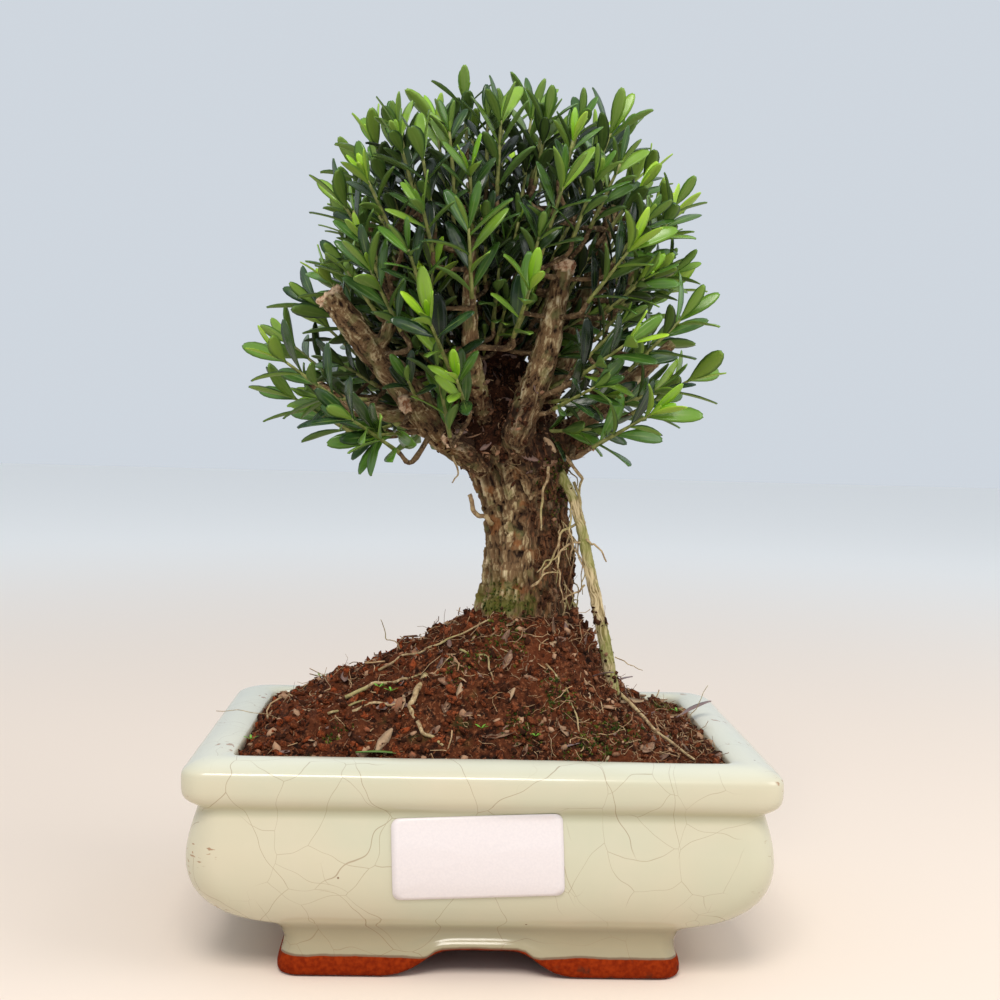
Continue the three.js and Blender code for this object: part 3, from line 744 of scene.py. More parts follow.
def tufts():
    """Two tufts of moss, each a few pointed leaves that stand out of one foot."""
    patterns = []
    for k in range(2):
        points, faces = [], []
        for blade in range(7):
            turn = 2.4 * blade + k
            lean = 0.15 + 0.11 * blade
            tip = (lean * math.cos(turn), lean * math.sin(turn), 1 - 0.08 * blade)
            for corner in range(3):
                angle = turn + 2 * math.pi * corner / 3
                x, y = 0.16 * math.cos(angle) + 0.3 * tip[0], 0.16 * math.sin(angle) + 0.3 * tip[1]
                points.append((x, y, -0.1))
            points.append(tip)
            first = 4 * blade
            faces += [(first + a, first + (a + 1) % 3, first + 3) for a in range(3)]
            faces += [(first + 2, first + 1, first)]
        patterns.append(pattern_piece("tuft_%d" % k, points, faces))
    return patterns


# Place and reach of each patch of moss, in millimetres
moss_patches = [(-10, -31, 6), (33, -47, 10), (-3, -30, 5), (8, -24, 9), (-46, -44, 5), (46, -40, 8),
                (12, -46, 6), (24, -38, 7), (66, 30, 8), (-60, 36, 7), (20, 40, 9), (-20, 30, 6)]
moss_cover = np.zeros(len(spots))
for x, y, reach in moss_patches:
    apart = np.hypot(spots[:, 0] - x, spots[:, 1] - y) / reach
    moss_cover = np.maximum(moss_cover, np.clip(1.6 - 1.6 * apart + 1.2 * lumpy, 0, 1))
scattered("ground_moss", soil, moss_cover * on_top, tufts(), moss_finish, 850000, (0.5, 1.35), 0.5, 41)

# Trunk
# A stout stem that flares into a head of thirteen boughs, two of them sawn off as stumps, with an aerial
# root down to the soil. One grown body: its limbs are blended together and its bark is split and flaky.
draw = [4211]


def chance():
    """The next seeded draw from 0 to 1, the same ones as in the part's source."""
    draw[0] = draw[0] * 16807 % 2147483647
    return draw[0] / 2147483647


def spread(low, high):
    """A seeded draw between two values."""
    return low + (high - low) * chance()


def unit(vector):
    """The vector at length one."""
    return vector / np.linalg.norm(vector)


trunk_sides = 24
# Height, middle X, half width, half depth, depth of the ridges
trunk_levels = np.array([
    (78, 15, 11, 10, 0),
    (92, 15, 15, 13.5, 0),
    (103, 15, 17.4, 15.6, 0.5),
    (108, 15, 16.6, 14.8, 1.3),
    (116, 15, 15.7, 14, 1.6),
    (124, 14.8, 15.4, 13.6, 1.7),
    (132, 14.4, 14.6, 13.2, 1.7),
    (140, 14.2, 14.2, 13, 1.7),
    (147, 13.4, 15, 13.4, 1.7),
    (153, 12.4, 16.6, 14.4, 1.6),
    (158, 10.4, 19.4, 16.2, 1.5),
    (163, 8.6, 21.6, 17.6, 1.5),
    (168, 8, 20.4, 17, 1.5),
    (173, 8, 15.5, 13.4, 1.2),
    (178, 8, 8, 7, 0),
])


def level_at(levels, z):
    """A row of levels at a height between the given ones, without the height itself."""
    return [np.interp(z, levels[:, 0], levels[:, k]) for k in range(1, levels.shape[1])]


ridge_lean = np.array([spread(0.4, 1.6) * (-1 if i % 2 else 0.5) for i in range(trunk_sides)])


def trunk_ring(z, sides=96):
    """The fluted outline of the stem at one height."""
    middle, half_x, half_y, ridge = level_at(trunk_levels, z)
    around = np.arange(sides) / sides
    angle = 2 * math.pi * around + z * 0.004
    groove = np.interp(around * trunk_sides, np.arange(trunk_sides), ridge_lean, period=trunk_sides)
    out = ridge * (groove + 0.7 * np.sin(3 * angle + z / 9))
    x = middle + (half_x + out) * np.cos(angle)
    return np.stack([x, (half_y + out) * np.sin(angle), np.full(sides, z)], axis=1)


# Path from inside the head, with the start and end radius
boughs = [
    # the two sawn stumps at the front, and the stub on the left one
    ([(0, -8, 158), (-16, -15, 168), (-30, -16, 184), (-42, -17, 197), (-54, -18, 212)], (7.2, 4.9)),
    ([(10, -8, 160), (10, -20, 171), (17, -21, 192), (20, -21, 208), (23, -21, 225)], (6.6, 3.9)),
    ([(-38, -17, 192), (-34, -20, 201), (-32, -20, 209)], (2.8, 2.2)),
    # the low ones at the sides, and the knob on the right
    ([(-4, -4, 160), (-23, -5, 170), (-36, -4, 174), (-49, -3, 178), (-62, -2, 184)], (4.2, 1.9)),
    ([(18, -4, 163), (35, -5, 175), (51, -5, 189), (62, -5, 200)], (4.2, 1.9)),
    ([(18, -4, 160), (28, -5, 164), (35, -5, 167)], (5.4, 3.6)),
    # the upright ones inside the crown
    ([(4, 2, 165), (-14, 6, 190), (-32, 4, 214), (-42, 2, 238)], (5, 2)),
    ([(8, 4, 165), (4, 4, 196), (-4, -2, 226), (-8, -4, 252)], (5.4, 2)),
    ([(14, 4, 165), (26, 4, 196), (35, 0, 224), (41, -2, 246)], (5, 2)),
    # the ones at the back
    ([(4, 8, 165), (-12, 24, 186), (-28, 33, 205), (-40, 35, 221)], (4.6, 1.8)),
    ([(14, 8, 165), (26, 24, 188), (38, 31, 207), (50, 33, 222)], (4.6, 1.8)),
    ([(8, 10, 165), (8, 27, 192), (6, 34, 220), (4, 34, 242)], (4.6, 1.8)),
    # a forward one between the stumps
    ([(2, -6, 165), (-6, -24, 188), (-8, -34, 208), (-8, -36, 226)], (4, 1.8)),
]
boughs = [(np.array(path, dtype=float), size) for path, size in boughs]
aerial_path = np.array([(22, -9, 160), (28, -14, 148), (31, -16, 139), (34, -17, 126), (38, -18, 109),
                        (41, -18, 96), (44, -18, 80), (44.5, -18, 70)], dtype=float)


def curved(path, per_segment=5):
    """A smooth path through the given points."""
    path = np.asarray(path, dtype=float)
    before = np.vstack([2 * path[0] - path[1], path[:-2]])
    after = np.vstack([path[2:], 2 * path[-1] - path[-2]])
    points = []
    for a, b, c, d in zip(before, path[:-1], path[1:], after):
        for t in np.arange(per_segment) / per_segment:
            points.append(0.5 * (2 * b + (c - a) * t + (2 * a - 5 * b + 4 * c - d) * t**2
                                 + (3 * b - a - 3 * c + d) * t**3))
    return np.array(points + [path[-1]])


def frames_along(path):
    """The direction, side and across vectors at each point of a path, without twist."""
    along = np.gradient(path, axis=0)
    along /= np.linalg.norm(along, axis=1)[:, None]
    side = np.array([1.0, 0, 0]) if abs(along[0][2]) > 0.8 else np.array([0, 0, 1.0])
    sides = []
    for direction in along:
        side = unit(side - direction * np.dot(side, direction))
        sides.append(side)
    sides = np.array(sides)
    return along, sides, np.cross(along, sides)


def tubes(name, limbs, sides=8):
    """One mesh of round limbs, each a path and its radii in millimetres, closed at both ends."""
    points, faces = [], []
    turns = 2 * math.pi * np.arange(sides) / sides
    for path, radii in limbs:
        along, side, across = frames_along(path)
        first = len(points)
        for centre, radius, one, two in zip(path, radii, side, across):
            points += list(centre + radius * (np.outer(np.cos(turns), one) + np.outer(np.sin(turns), two)))
        for level in range(len(path) - 1):
            low, high = first + level * sides, first + (level + 1) * sides
            faces += [(low + i, low + (i + 1) % sides, high + (i + 1) % sides, high + i) for i in range(sides)]
        last = len(points) - sides
        points += [path[0], path[-1]]
        faces += [(last + sides, first + (i + 1) % sides, first + i) for i in range(sides)]
        faces += [(last + sides + 1, last + i, last + (i + 1) % sides) for i in range(sides)]
    return piece_of(name, points, faces)


def joined(name, pieces):
    """Several pieces as one mesh."""
    with bpy.context.temp_override(active_object=pieces[0], selected_editable_objects=pieces):
        bpy.ops.object.join()
    pieces[0].name = name
    return pieces[0]


def limb(path, start, end):
    """A smooth limb along a path, with radii that run from start to end."""
    way = curved(path)
    return way, np.linspace(start, end, len(way))


# How much slimmer the two stumps are made, as their thick bark is added to them
bark_room = [0.7, 0.6] + [0] * (len(boughs) - 2)
limbs = [limb(path, size[0] - room, size[1] - room) for (path, size), room in zip(boughs, bark_room)]
# Two twigs cut off close to the left stump's bough, each a path and a radius
knobs = [(((-11, -12, 164), (-12.5, -17, 164.8), (-13.2, -22.2, 165.2)), 2.5),
         (((-23, -13, 175.5), (-25.5, -17, 176), (-28.4, -21.6, 176.5)), 2.9)]
limbs += [limb(path, radius, radius) for path, radius in knobs]
# The stumps, the stub, the knob on the right and the two twigs
sawn_limbs = (0, 1, 2, 5, 13, 14)
stem = lofted("stem", [trunk_ring(z) for z in np.arange(78, 178.1, 1.25)])
aerial_limb = limb(aerial_path, 1.7, 2.5)
wood = joined("barky_trunk", [stem, tubes("boughs", limbs + [aerial_limb], 14)])
remesh = wood.modifiers.new("one body", "REMESH")
remesh.mode = "VOXEL"
remesh.voxel_size = 0.68 * mm
settled = wood.modifiers.new("soft joints", "SMOOTH")
settled.factor = 0.5
settled.iterations = 3
settle(wood)


def limb_coordinates(spots, limbs):
    """For each spot in millimetres: its place in the frame of the nearest limb, how far beyond that limb's
    end it lies, and the limb's number and radius."""
    best = np.full(len(spots), np.inf)
    local = np.zeros((len(spots), 3))
    to_end = np.zeros(len(spots))
    number = np.zeros(len(spots), dtype=int)
    thick = np.zeros(len(spots))
    for k, (path, radii) in enumerate(limbs):
        along, side, across = frames_along(path)
        run = np.concatenate([[0], np.cumsum(np.linalg.norm(np.diff(path, axis=0), axis=1))])
        for i in range(len(path) - 1):
            step = path[i + 1] - path[i]
            share = np.clip((spots - path[i]) @ step / (step @ step), 0, 1)
            offset = spots - path[i] - share[:, None] * step
            radius = radii[i] + (radii[i + 1] - radii[i]) * share
            distance = np.linalg.norm(offset, axis=1) - radius
            nearer = distance < best
            best[nearer] = distance[nearer]
            here = run[i] + (run[i + 1] - run[i]) * share
            u, v = offset @ side[i], offset @ across[i]
            local[nearer] = np.stack([u, v, here], axis=1)[nearer]
            beyond = (spots - path[-1]) @ along[-1]
            to_end[nearer] = beyond[nearer]
            number[nearer] = k
            thick[nearer] = radius[nearer]
    return local, to_end, number, thick


spots = corners_of(wood) / mm
stem_z = np.arange(78, 174, 6)
stem_middle, stem_radii = level_at(trunk_levels, stem_z)[:2]
stem_axis = np.stack([stem_middle, np.zeros(len(stem_z)), stem_z], axis=1)
local, to_end, number, thick = limb_coordinates(spots, limbs + [aerial_limb, (stem_axis, stem_radii)])
local += 37.0 * number[:, None]
is_aerial = number == len(limbs)
is_sawn = np.isin(number, sawn_limbs)
is_stem = number == len(limbs) + 1


# The noise's own grid is turned out of line with the limbs, so that its lumps form no rows on them
grid_turn = np.array(Matrix.Rotation(0.9, 3, Vector((1, 2, 0.7))))


def noise_at(places, size, seed=0.0):
    """Smooth noise from -1 to 1 at places in millimetres, with lumps of that size."""
    turned = places @ grid_turn / size + seed
    return np.array([noise.noise(place) for place in turned])


bare_length = np.select([number == 1, number == 0], [3.8, 1.8], 0.8)
cut = is_sawn & (to_end > -bare_length + 1.5 * noise_at(spots, 2.5, 6.0))
strayed = local + 1.5 * np.stack([noise_at(local, 4.5, seed) for seed in (11.0, 12.0, 13.0)], axis=1)
stretched = strayed.copy()
stretched[:, 2] *= np.where(is_stem, 0.21, 0.15)
narrow = np.interp(thick, (3, 9, 14), (0.62, 0.75, 1))
plates = noise_at(stretched / narrow[:, None], 2.1, 1.0)
further_up = noise_at((stretched + np.array([0, 0, 0.5])) / narrow[:, None], 2.1, 1.0)
across_grain = np.clip(np.abs(further_up - plates) / 0.2, 0, 1)
finer = noise_at(stretched, 0.95, 7.0)
flakes = noise_at(local, 3.4, 4.0)
deep = (1 - np.clip(np.abs(plates) / 0.2, 0, 1)) * (1 - 0.7 * across_grain)
thin = 1 - np.clip(np.abs(finer) / 0.22, 0, 1)
relief = 0.6 * flakes + 0.4 * plates - 1.15 * deep - 0.45 * thin
strength = np.interp(thick, (1.8, 4, 14), (0.18, 0.62, 1.3))
strength[is_aerial] = 0.28
relief[cut] = 0.25 + 1.1 * noise_at(local[cut], 1.4, 9.0) + 0.6 * noise_at(local[cut], 0.8, 2.0)
strength[cut] = 1.1
put_corners(wood, (spots + outward(wood) * (relief * strength)[:, None]) * mm)
mark(wood, "relief", relief)
mark(wood, "cut", cut.astype(float))
mark(wood, "root", is_aerial.astype(float))
mark(wood, "limb", np.interp(thick, (7, 11), (1, 0)))
# The fork between the boughs, less where the bark faces down: its bark is peat-stained, and also darkened as
# painted shade inside the crown.
fork_share = np.linalg.norm((spots - (4, 0, 167)) / (24, 42, 17), axis=1) + 0.25 * noise_at(spots, 6.0, 8.0)
from_above = np.interp(outward(wood)[:, 2], (-0.7, 0.1), (0.4, 1))
mark(wood, "fork", np.clip((1.12 - fork_share) / 0.35, 0, 1) * from_above)
mark(wood, "grain", stretched * mm)

bark, tree, shader, where = new_finish("split bark")
grain = marked(tree, "grain", "Vector")
at_x, at_y, at_z = place(tree, "ShaderNodeSeparateXYZ", {0: where}).outputs
fine = grain_of(tree, grain, 1100.0, 6.0, 0.72)
lengthwise = place(tree, "ShaderNodeMapping", {"Vector": grain, "Scale": (1, 1, 0.4)}).outputs[0]
fibrous = noise_of(tree, lengthwise, 1500.0)
coarse = noise_of(tree, where, 75.0, 4.0)
raised = plus(tree, marked(tree, "relief"), times(tree, plus(tree, fine, -0.5), 2.4))
# Bark coloured by its relief: its own darker fissures and paler plates, with painted shade near black deep in
# the fissures and painted highlight on the highest plates.
colour = tinted(tree, ramp(tree, raised, -1.0, -0.2), (0.018, 0.008, 0.004), (0.18, 0.105, 0.050))
colour = tinted(tree, ramp(tree, raised, -0.2, 0.25), colour, (0.44, 0.34, 0.185))
colour = tinted(tree, ramp(tree, raised, 0.25, 0.75), colour, (0.74, 0.60, 0.39))
lichen = ramp(tree, noise_of(tree, where, 190.0, 5.0, 6.0), 0.52, 0.64, 0.0, 0.6)
colour = tinted(tree, lichen, colour, (0.20, 0.19, 0.075))
rusty = ramp(tree, noise_of(tree, where, 150.0, 4.0, 5.0), 0.54, 0.63, 0.0, 0.6)
rusty = times(tree, rusty, ramp(tree, at_z, 0.172, 0.150))
colour = tinted(tree, rusty, colour, (0.27, 0.10, 0.030))
damp = ramp(tree, plus(tree, at_x, times(tree, plus(tree, coarse, -0.5), 0.02)), 0.011, 0.019)
damp = times(tree, damp, ramp(tree, at_z, 0.180, 0.160))
peaty = tinted(tree, ramp(tree, fine, 0.42, 0.62), (0.020, 0.008, 0.004), (0.15, 0.055, 0.022))
colour = tinted(tree, times(tree, damp, 0.85), colour, peaty)
weathered = times(tree, marked(tree, "limb"), ramp(tree, raised, 0.1, 0.8, 0.0, 0.6))
colour = tinted(tree, weathered, colour, (0.60, 0.54, 0.42))
# Peat stain and painted shade in the fork: its bark turns dark brown to near black.
peaty = tinted(tree, ramp(tree, fine, 0.5, 0.68), (0.022, 0.009, 0.005), (0.20, 0.085, 0.040))
colour = tinted(tree, times(tree, marked(tree, "fork"), 0.92), colour, peaty)
rooty = tinted(tree, ramp(tree, fibrous, 0.38, 0.6), (0.17, 0.12, 0.045), (0.60, 0.48, 0.28))
rooty = tinted(tree, ramp(tree, coarse, 0.46, 0.6, 0.0, 0.7), rooty, (0.22, 0.24, 0.06))
colour = tinted(tree, marked(tree, "root"), colour, rooty)
splinters = noise_of(tree, where, 520.0, 6.0, 3.0)
sawn_colour = tinted(tree, ramp(tree, splinters, 0.36, 0.60), (0.30, 0.125, 0.060), (0.80, 0.58, 0.39))
colour = tinted(tree, marked(tree, "cut"), colour, sawn_colour)
low_left = times(tree, ramp(tree, at_z, 0.124, 0.108), ramp(tree, at_x, 0.024, 0.010))
green_film = times(tree, low_left, ramp(tree, noise_of(tree, where, 150.0, 5.0, 4.0), 0.42, 0.56, 0.0, 0.8))
colour = tinted(tree, green_film, colour, (0.12, 0.13, 0.022))
finish_with(tree, shader, colour, 0.85, plus(tree, fine, fibrous), depth=0.8, reach=0.0007, gloss=0.2)
hand_in(wood, bark, "bark", "trunk")

# Caught litter
# Years of crumbled peat and dead leaves packed in the fork between the boughs, dark and damp, with some of
# it lodged on the boughs above and on the trunk's right side, and moss where it stays wet. The mound rises
# above the litter into the crown's hollow, a dark mass that stands in for the shade there.
# Height, middle X and Y, half width and half depth
litter_levels = np.array([(158, 4, -3, 13, 11), (166, 3, -3, 18, 13), (174, 2, -3, 18, 13),
                          (182, 1, -2, 15, 12), (190, 0, -1, 11, 9), (197, -1, 0, 6, 5)])
litter_rings = []
turns = 2 * math.pi * np.arange(64) / 64
for z in np.arange(158, 197.1, 1.3):
    x, y, half_x, half_y = level_at(litter_levels, z)
    ring = [x + half_x * np.cos(turns), y + half_y * np.sin(turns), np.full(64, z)]
    litter_rings.append(np.stack(ring, axis=1))
packed = settle(lofted("packed_litter", litter_rings))
spots = corners_of(packed)
rough = 4.2 * pattern(spots, 12, 2.0) + 2.6 * pattern(spots, 5, 3.0) + 1.1 * pattern(spots, 2.2, 4.0)
put_corners(packed, spots + outward(packed) * (rough * mm)[:, None])
# Very dark peat colour: real litter at the bottom, painted shade where the mound rises into the crown's hollow.
litter_and_shade_finish, tree, shader, where = new_finish("packed litter")
colour, grain = mottle_of(tree, where, 300.0, (0.008, 0.0035, 0.002), (0.036, 0.013, 0.007),
                          (0.11, 0.045, 0.022))
finish_with(tree, shader, colour, 0.95, grain, depth=0.9, reach=0.0012, gloss=0.1)
hand_in(packed, litter_and_shade_finish, "peat")

dark_crumb_finish, tree, shader, where = new_finish("dark crumbs")
tone = marked(tree, "tone")
colour, grain = mottle_of(tree, where, 500.0, (0.010, 0.004, 0.002), (0.050, 0.018, 0.008),
                          (0.13, 0.050, 0.022))
colour = tinted(tree, ramp(tree, tone, 0.82, 0.96), colour, (0.33, 0.18, 0.105))
finish_with(tree, shader, colour, 0.92, grain, depth=0.5, reach=0.0005, gloss=0.12)
all_over = np.ones(len(spots))
scattered("fork_crumbs", packed, all_over, clods(), dark_crumb_finish, 300000, (0.5, 2.8), 1.2, 51)
scattered("fork_leaves", packed, all_over, chips(), chip_finish, 30000, (0.5, 1.25), 0.8, 53)

spots = corners_of(wood) / mm
facing = outward(wood)
in_fork = np.clip((spots[:, 2] - 148) / 10, 0, 1) * np.clip((192 - spots[:, 2]) / 12, 0, 1)
in_fork *= np.clip(1.3 - np.abs(spots[:, 0] - 5) / 24, 0, 1) * np.clip(0.6 + facing[:, 2], 0.35, 1)
right_side = np.clip((spots[:, 0] - 14) / 5, 0, 1) * np.clip((165 - spots[:, 2]) / 10, 0, 1)
right_side *= (1 - is_aerial) * 0.5
at_foot = np.clip((112 - spots[:, 2]) / 8, 0, 1) * 0.5
lodged = np.maximum(np.maximum(in_fork, right_side), at_foot)
scattered("bark_crumbs", wood, lodged, clods(), dark_crumb_finish, 260000, (0.4, 2.2), 1.2, 61)
fine_strands = [strand("fibre_%d" % k, 4.1 * k, 5 + 1.5 * k, 0.13, 2.4 + 0.6 * k) for k in range(4)]
scattered("bark_fibres", wood, lodged, fine_strands, fibre_finish, 26000, (0.5, 1.2), 0.9, 63, "bark")
scattered("bark_leaves", wood, in_fork, chips(), chip_finish, 12000, (0.4, 0.9), 0.7, 67)

wet = noise_at(spots, 4.0, 3.0)
# Richness, middle and reach of each patch of moss on the trunk
trunk_patches = [(1.7, (26, -8, 155), (7, 10, 9)), (1.4, (4, -12, 110), (9, 8, 7)),
                 (1.0, (30, -6, 128), (4, 6, 5))]
trunk_moss_cover = np.zeros(len(spots))
for rich, middle, reaches in trunk_patches:
    patch = np.clip(rich - np.linalg.norm((spots - middle) / reaches, axis=1) + 0.8 * wet, 0, 1)
    trunk_moss_cover = np.maximum(trunk_moss_cover, patch)
trunk_moss_cover *= 1 - is_aerial
scattered("trunk_moss", wood, trunk_moss_cover, tufts(), moss_finish, 900000, (0.4, 1.1), 0.5, 71, "bark")

# Shoots
# The crown: forty-two outer shoots where the part's source puts its sprays, by the same rule, and more of
# them inside. Each is a thin green stem with opposite pairs of leaves, every pair turned a quarter.
stem_clearance = 0.6
leaf_ball = 2.3
stump_window = 8
heart = np.array([-2.0, 0, 205])
crown_width = 84
crown_depth = 66
crown_rise = 87
crown_drop = 44
boxiness = 3
drawn_in_left = 22
drawn_in_right = 8
drawn_in_from = 0.35
golden_angle = math.pi * (3 - math.sqrt(5))
pair_spacing = 6.4
leaf_length = 16.5
leaf_half_width = 0.15
# Balls that fill what has grown so far: place, radius and owner, with 0 for the trunk
grown = {"spots": np.zeros((0, 3)), "radii": np.zeros(0), "owners": np.zeros(0, dtype=int)}


def claim(spots, radii, owner):
    """Notes the balls that a new limb or leaf fills."""
    grown["spots"] = np.vstack([grown["spots"], spots])
    grown["radii"] = np.concatenate([grown["radii"], np.broadcast_to(radii, len(spots))])
    grown["owners"] = np.concatenate([grown["owners"], np.full(len(spots), owner)])


def between(a, b, count):
    """Points from a to b in so many equal steps."""
    return [a + (b - a) * k / count for k in range(count + 1)]


# The fork between the stumps stays in sight as they do
stump_points = [np.array(spot, dtype=float) for spot in ((2, -10, 168), (2, -10, 178), (1, -10, 188))]
footholds = []
for number, (path, size) in enumerate(boughs):
    for k in range(len(path) - 1):
        steps = max(1, math.ceil(np.linalg.norm(path[k + 1] - path[k]) / 2.5))
        ends = [size[0] + (size[1] - size[0]) * (k + share) / (len(path) - 1) for share in (0, 1)]
        claim(between(path[k], path[k + 1], steps), np.linspace(*ends, steps + 1), 0)
        if number < 2:
            stump_points += [path[k] + (path[k + 1] - path[k]) * step / 3 for step in range(3)]
        if k > 0:
            footholds += [path[k] + (path[k + 1] - path[k]) * (step + 0.5) / 4 for step in range(4)]
footholds = np.array(footholds)
stump_points = np.array(stump_points)


def clear_of(spots, radius, skip=-1, gap=0.0):
    """Whether balls of one radius keep off all that has grown, apart from what one owner holds."""
    apart = np.linalg.norm(np.array(spots)[:, None] - grown["spots"][None], axis=2)
    return bool(((apart > radius + grown["radii"] + gap) | (grown["owners"] == skip)).all())


def hides_stump(spots):
    """Whether any of the spots hangs in front of a sawn stump."""
    spots = np.array(spots)
    apart = np.linalg.norm(spots[:, None, ::2] - stump_points[None, :, ::2], axis=2)
    return bool(((apart < stump_window).any(axis=1) & (spots[:, 1] < -12)).any())


def crown_reach(out):
    """How far the crown reaches from its heart in a direction."""
    rise = min(1, max(0, out[2]) / drawn_in_from)
    width = crown_width - rise * (drawn_in_left if out[0] < 0 else drawn_in_right)
    sizes = np.array([width, crown_depth, crown_rise if out[2] > 0 else crown_drop])
    return float((np.abs(out) / sizes) ** boxiness @ np.ones(3)) ** (-1 / boxiness)


def shoot_at(out, reach, lift, stem_length, carriers):
    """A shoot that points outward from the heart, and the branchlet that carries it."""
    axis = unit(out + np.array([0, 0, lift]))
    tip = heart + out * crown_reach(out) * reach
    top = tip - axis * leaf_length * 0.9
    base = top - axis * stem_length
    cost = np.linalg.norm(carriers - base, axis=1) + 1.2 * np.maximum(0, carriers[:, 2] - base[2] + 5)
    hold = carriers[int(np.argmin(cost))]
    distance = np.linalg.norm(base - hold)
    elbow = base - axis * 0.35 * distance
    return {"axis": axis, "base": base, "top": top, "length": stem_length, "hold": hold, "elbow": elbow,
            "distance": distance}


def balls_between(a, b):
    """Ball centres about 2 mm apart from a to b."""
    return between(a, b, math.ceil(np.linalg.norm(b - a) / 2))


def stands_clear(shoot):
    """Whether the shoot's stem and branchlet keep off what is there."""
    stem = balls_between(shoot["base"] + 2 * shoot["axis"], shoot["top"])
    lower = balls_between(shoot["hold"], shoot["elbow"])
    upper = balls_between(shoot["elbow"], shoot["base"])
    return (clear_of(stem, 1.1, -1, stem_clearance) and clear_of(lower, 1.6, 0, stem_clearance)
            and clear_of(upper, 1.3, 0, stem_clearance))


def settle_shoot(shoot, owner):
    """Claims the room of a shoot's stem and branchlet."""
    lower = balls_between(shoot["hold"], shoot["elbow"])
    upper = balls_between(shoot["elbow"], shoot["base"])
    stem = balls_between(shoot["base"] + 2 * shoot["axis"], shoot["top"])
    claim(lower, 1.6, 0)
    claim(upper, 1.3, 0)
    claim(stem, 1.1, owner)
    shoot["owner"] = owner
    shoots.append(shoot)


shoots = []
# The lowest shoot, in front of the trunk
low_hold, low_base = np.array([-18.0, -14, 168]), np.array([-29.0, -19, 167])
low_axis = unit(np.array([-0.5, -0.8, -0.05]))
low_length = 13
low_top, low_elbow = low_base + low_axis * low_length, low_base - low_axis * 3
claim(balls_between(low_base, low_top), 1.1, 1)
claim(balls_between(low_elbow, low_base), 1.3, 0)
shoots.append({"axis": low_axis, "base": low_base, "top": low_top, "length": low_length, "hold": low_hold,
               "elbow": low_elbow, "owner": 1})
spray_count = 42
lowest_sine = -0.36
for number in range(spray_count):
    climb = 1 - (1 - lowest_sine) * (number + 0.5) / spray_count
    level = math.sqrt(1 - climb * climb)
    for attempt in range(14):
        turn = number * golden_angle + spread(-0.05, 0.05) * attempt
        out = unit(np.array([level * math.cos(turn), level * math.sin(turn), climb]))
        lift = spread(0.45, 0.85)
        stem_length = pair_spacing * 3 + spread(3, 5)
        shoot = shoot_at(out, spread(0.92, 1), lift, stem_length, footholds)
        stem_spots = balls_between(shoot["base"] + 2 * shoot["axis"], shoot["top"])
        if shoot["distance"] >= 8 and not hides_stump(stem_spots) and stands_clear(shoot):
            settle_shoot(shoot, len(shoots) + 1)
            break
outer_shoots = len(shoots)


def grow_leaves(shoot, pairs, ball, turns, rows, size=1.0):
    """Sets the pairs of leaves on a shoot, each turned a little if it would meet another shoot's. A row holds
    a leaf's root, direction, upper side, length, bend and age."""
    axis = shoot["axis"]
    side = unit(np.cross(axis, (0.3, 0.2, 1)))
    front = np.cross(axis, side)
    first_turn = spread(0, math.pi)
    for pair in range(pairs + 1):
        is_end = pair == pairs
        height = shoot["length"] - 0.6 if is_end else 2.5 + pair * pair_spacing * size
        root = shoot["base"] + axis * min(height, shoot["length"] - 0.6)
        lean = 0.3 if is_end else spread(0.65, 0.95) - 0.06 * pair
        for half in (0, 1):
            length = leaf_length * size * (0.86 if is_end else 1) * spread(0.86, 1.08)
            bend = 0.2 if is_end else spread(0.4, 2.2)
            for nudge in turns:
                turn = first_turn + pair * math.pi / 2 + half * math.pi + nudge
                away = side * math.cos(turn) + front * math.sin(turn)
                along = axis * math.cos(lean) + away * math.sin(lean)
                upper = axis * math.sin(lean) - away * math.cos(lean)
                spots = [root + along * length * s - upper * bend * s * s for s in (0.45, 0.65, 0.85, 1)]
                inside = all(abs(spot[0]) < 90 and abs(spot[1]) < 66 for spot in spots)
                is_hiding = hides_stump(spots) and not shoot.get("in_front")
                if not inside or is_hiding or not clear_of(spots, ball, shoot["owner"]):
                    continue
                claim(spots, ball, shoot["owner"])
                age = shoot["young"] * (1.0 if is_end else pair / (pairs + 1))
                rows.append((root, along, upper, length * 1.05, bend, age))
                break


small_size = 0.82
small_turns = (0, 0.35, -0.35, 0.7, -0.7, 1.1, -1.1)
outer_leaves = []
for number, shoot in enumerate(shoots):
    shoot["young"] = 1.0 if number % 10 in (2, 4, 5, 9) else 0.4
    grow_leaves(shoot, 4, leaf_ball, (0, 0.4, -0.4, 0.8, -0.8), outer_leaves)


low_side_gaps = 0.68


def fill_crown(count, low_sine, reaches, most_pairs, gap, carriers, flatness=1.0):
    """Adds shoots inside and between those there are, where their stems keep clear; gives the new ones."""
    added = []
    for number in range(count):
        climb = 1 - (1 - low_sine) * (number + 0.5) / count
        level = math.sqrt(1 - climb * climb)
        is_low_side = climb < 0.2 and abs(level * math.cos(1.1 + number * golden_angle)) > 0.5
        if is_low_side and chance() < low_side_gaps:
            continue
        for attempt in range(12):
            turn = 1.1 + number * golden_angle + spread(-0.1, 0.1) * attempt
            out = unit(np.array([level * math.cos(turn), flatness * level * math.sin(turn), climb]))
            pairs = most_pairs if chance() < 0.6 else most_pairs - 1
            stem_length = pair_spacing * small_size * (pairs - 1) + spread(4, 7)
            reach = spread(*reaches)
            shoot = shoot_at(out, reach, spread(0.3, 0.8), stem_length, carriers)
            stem_spots = balls_between(shoot["base"], shoot["top"])
            if not hides_stump(stem_spots) and clear_of(stem_spots, 1.0, -1, gap):
                settle_shoot(shoot, len(shoots) + 1)
                shoot["pairs"] = pairs
                shoot["young"] = 1.0 if number % 5 == 3 and reach > 0.8 else 0.3 * reach
                added.append(shoot)
                break
    return added


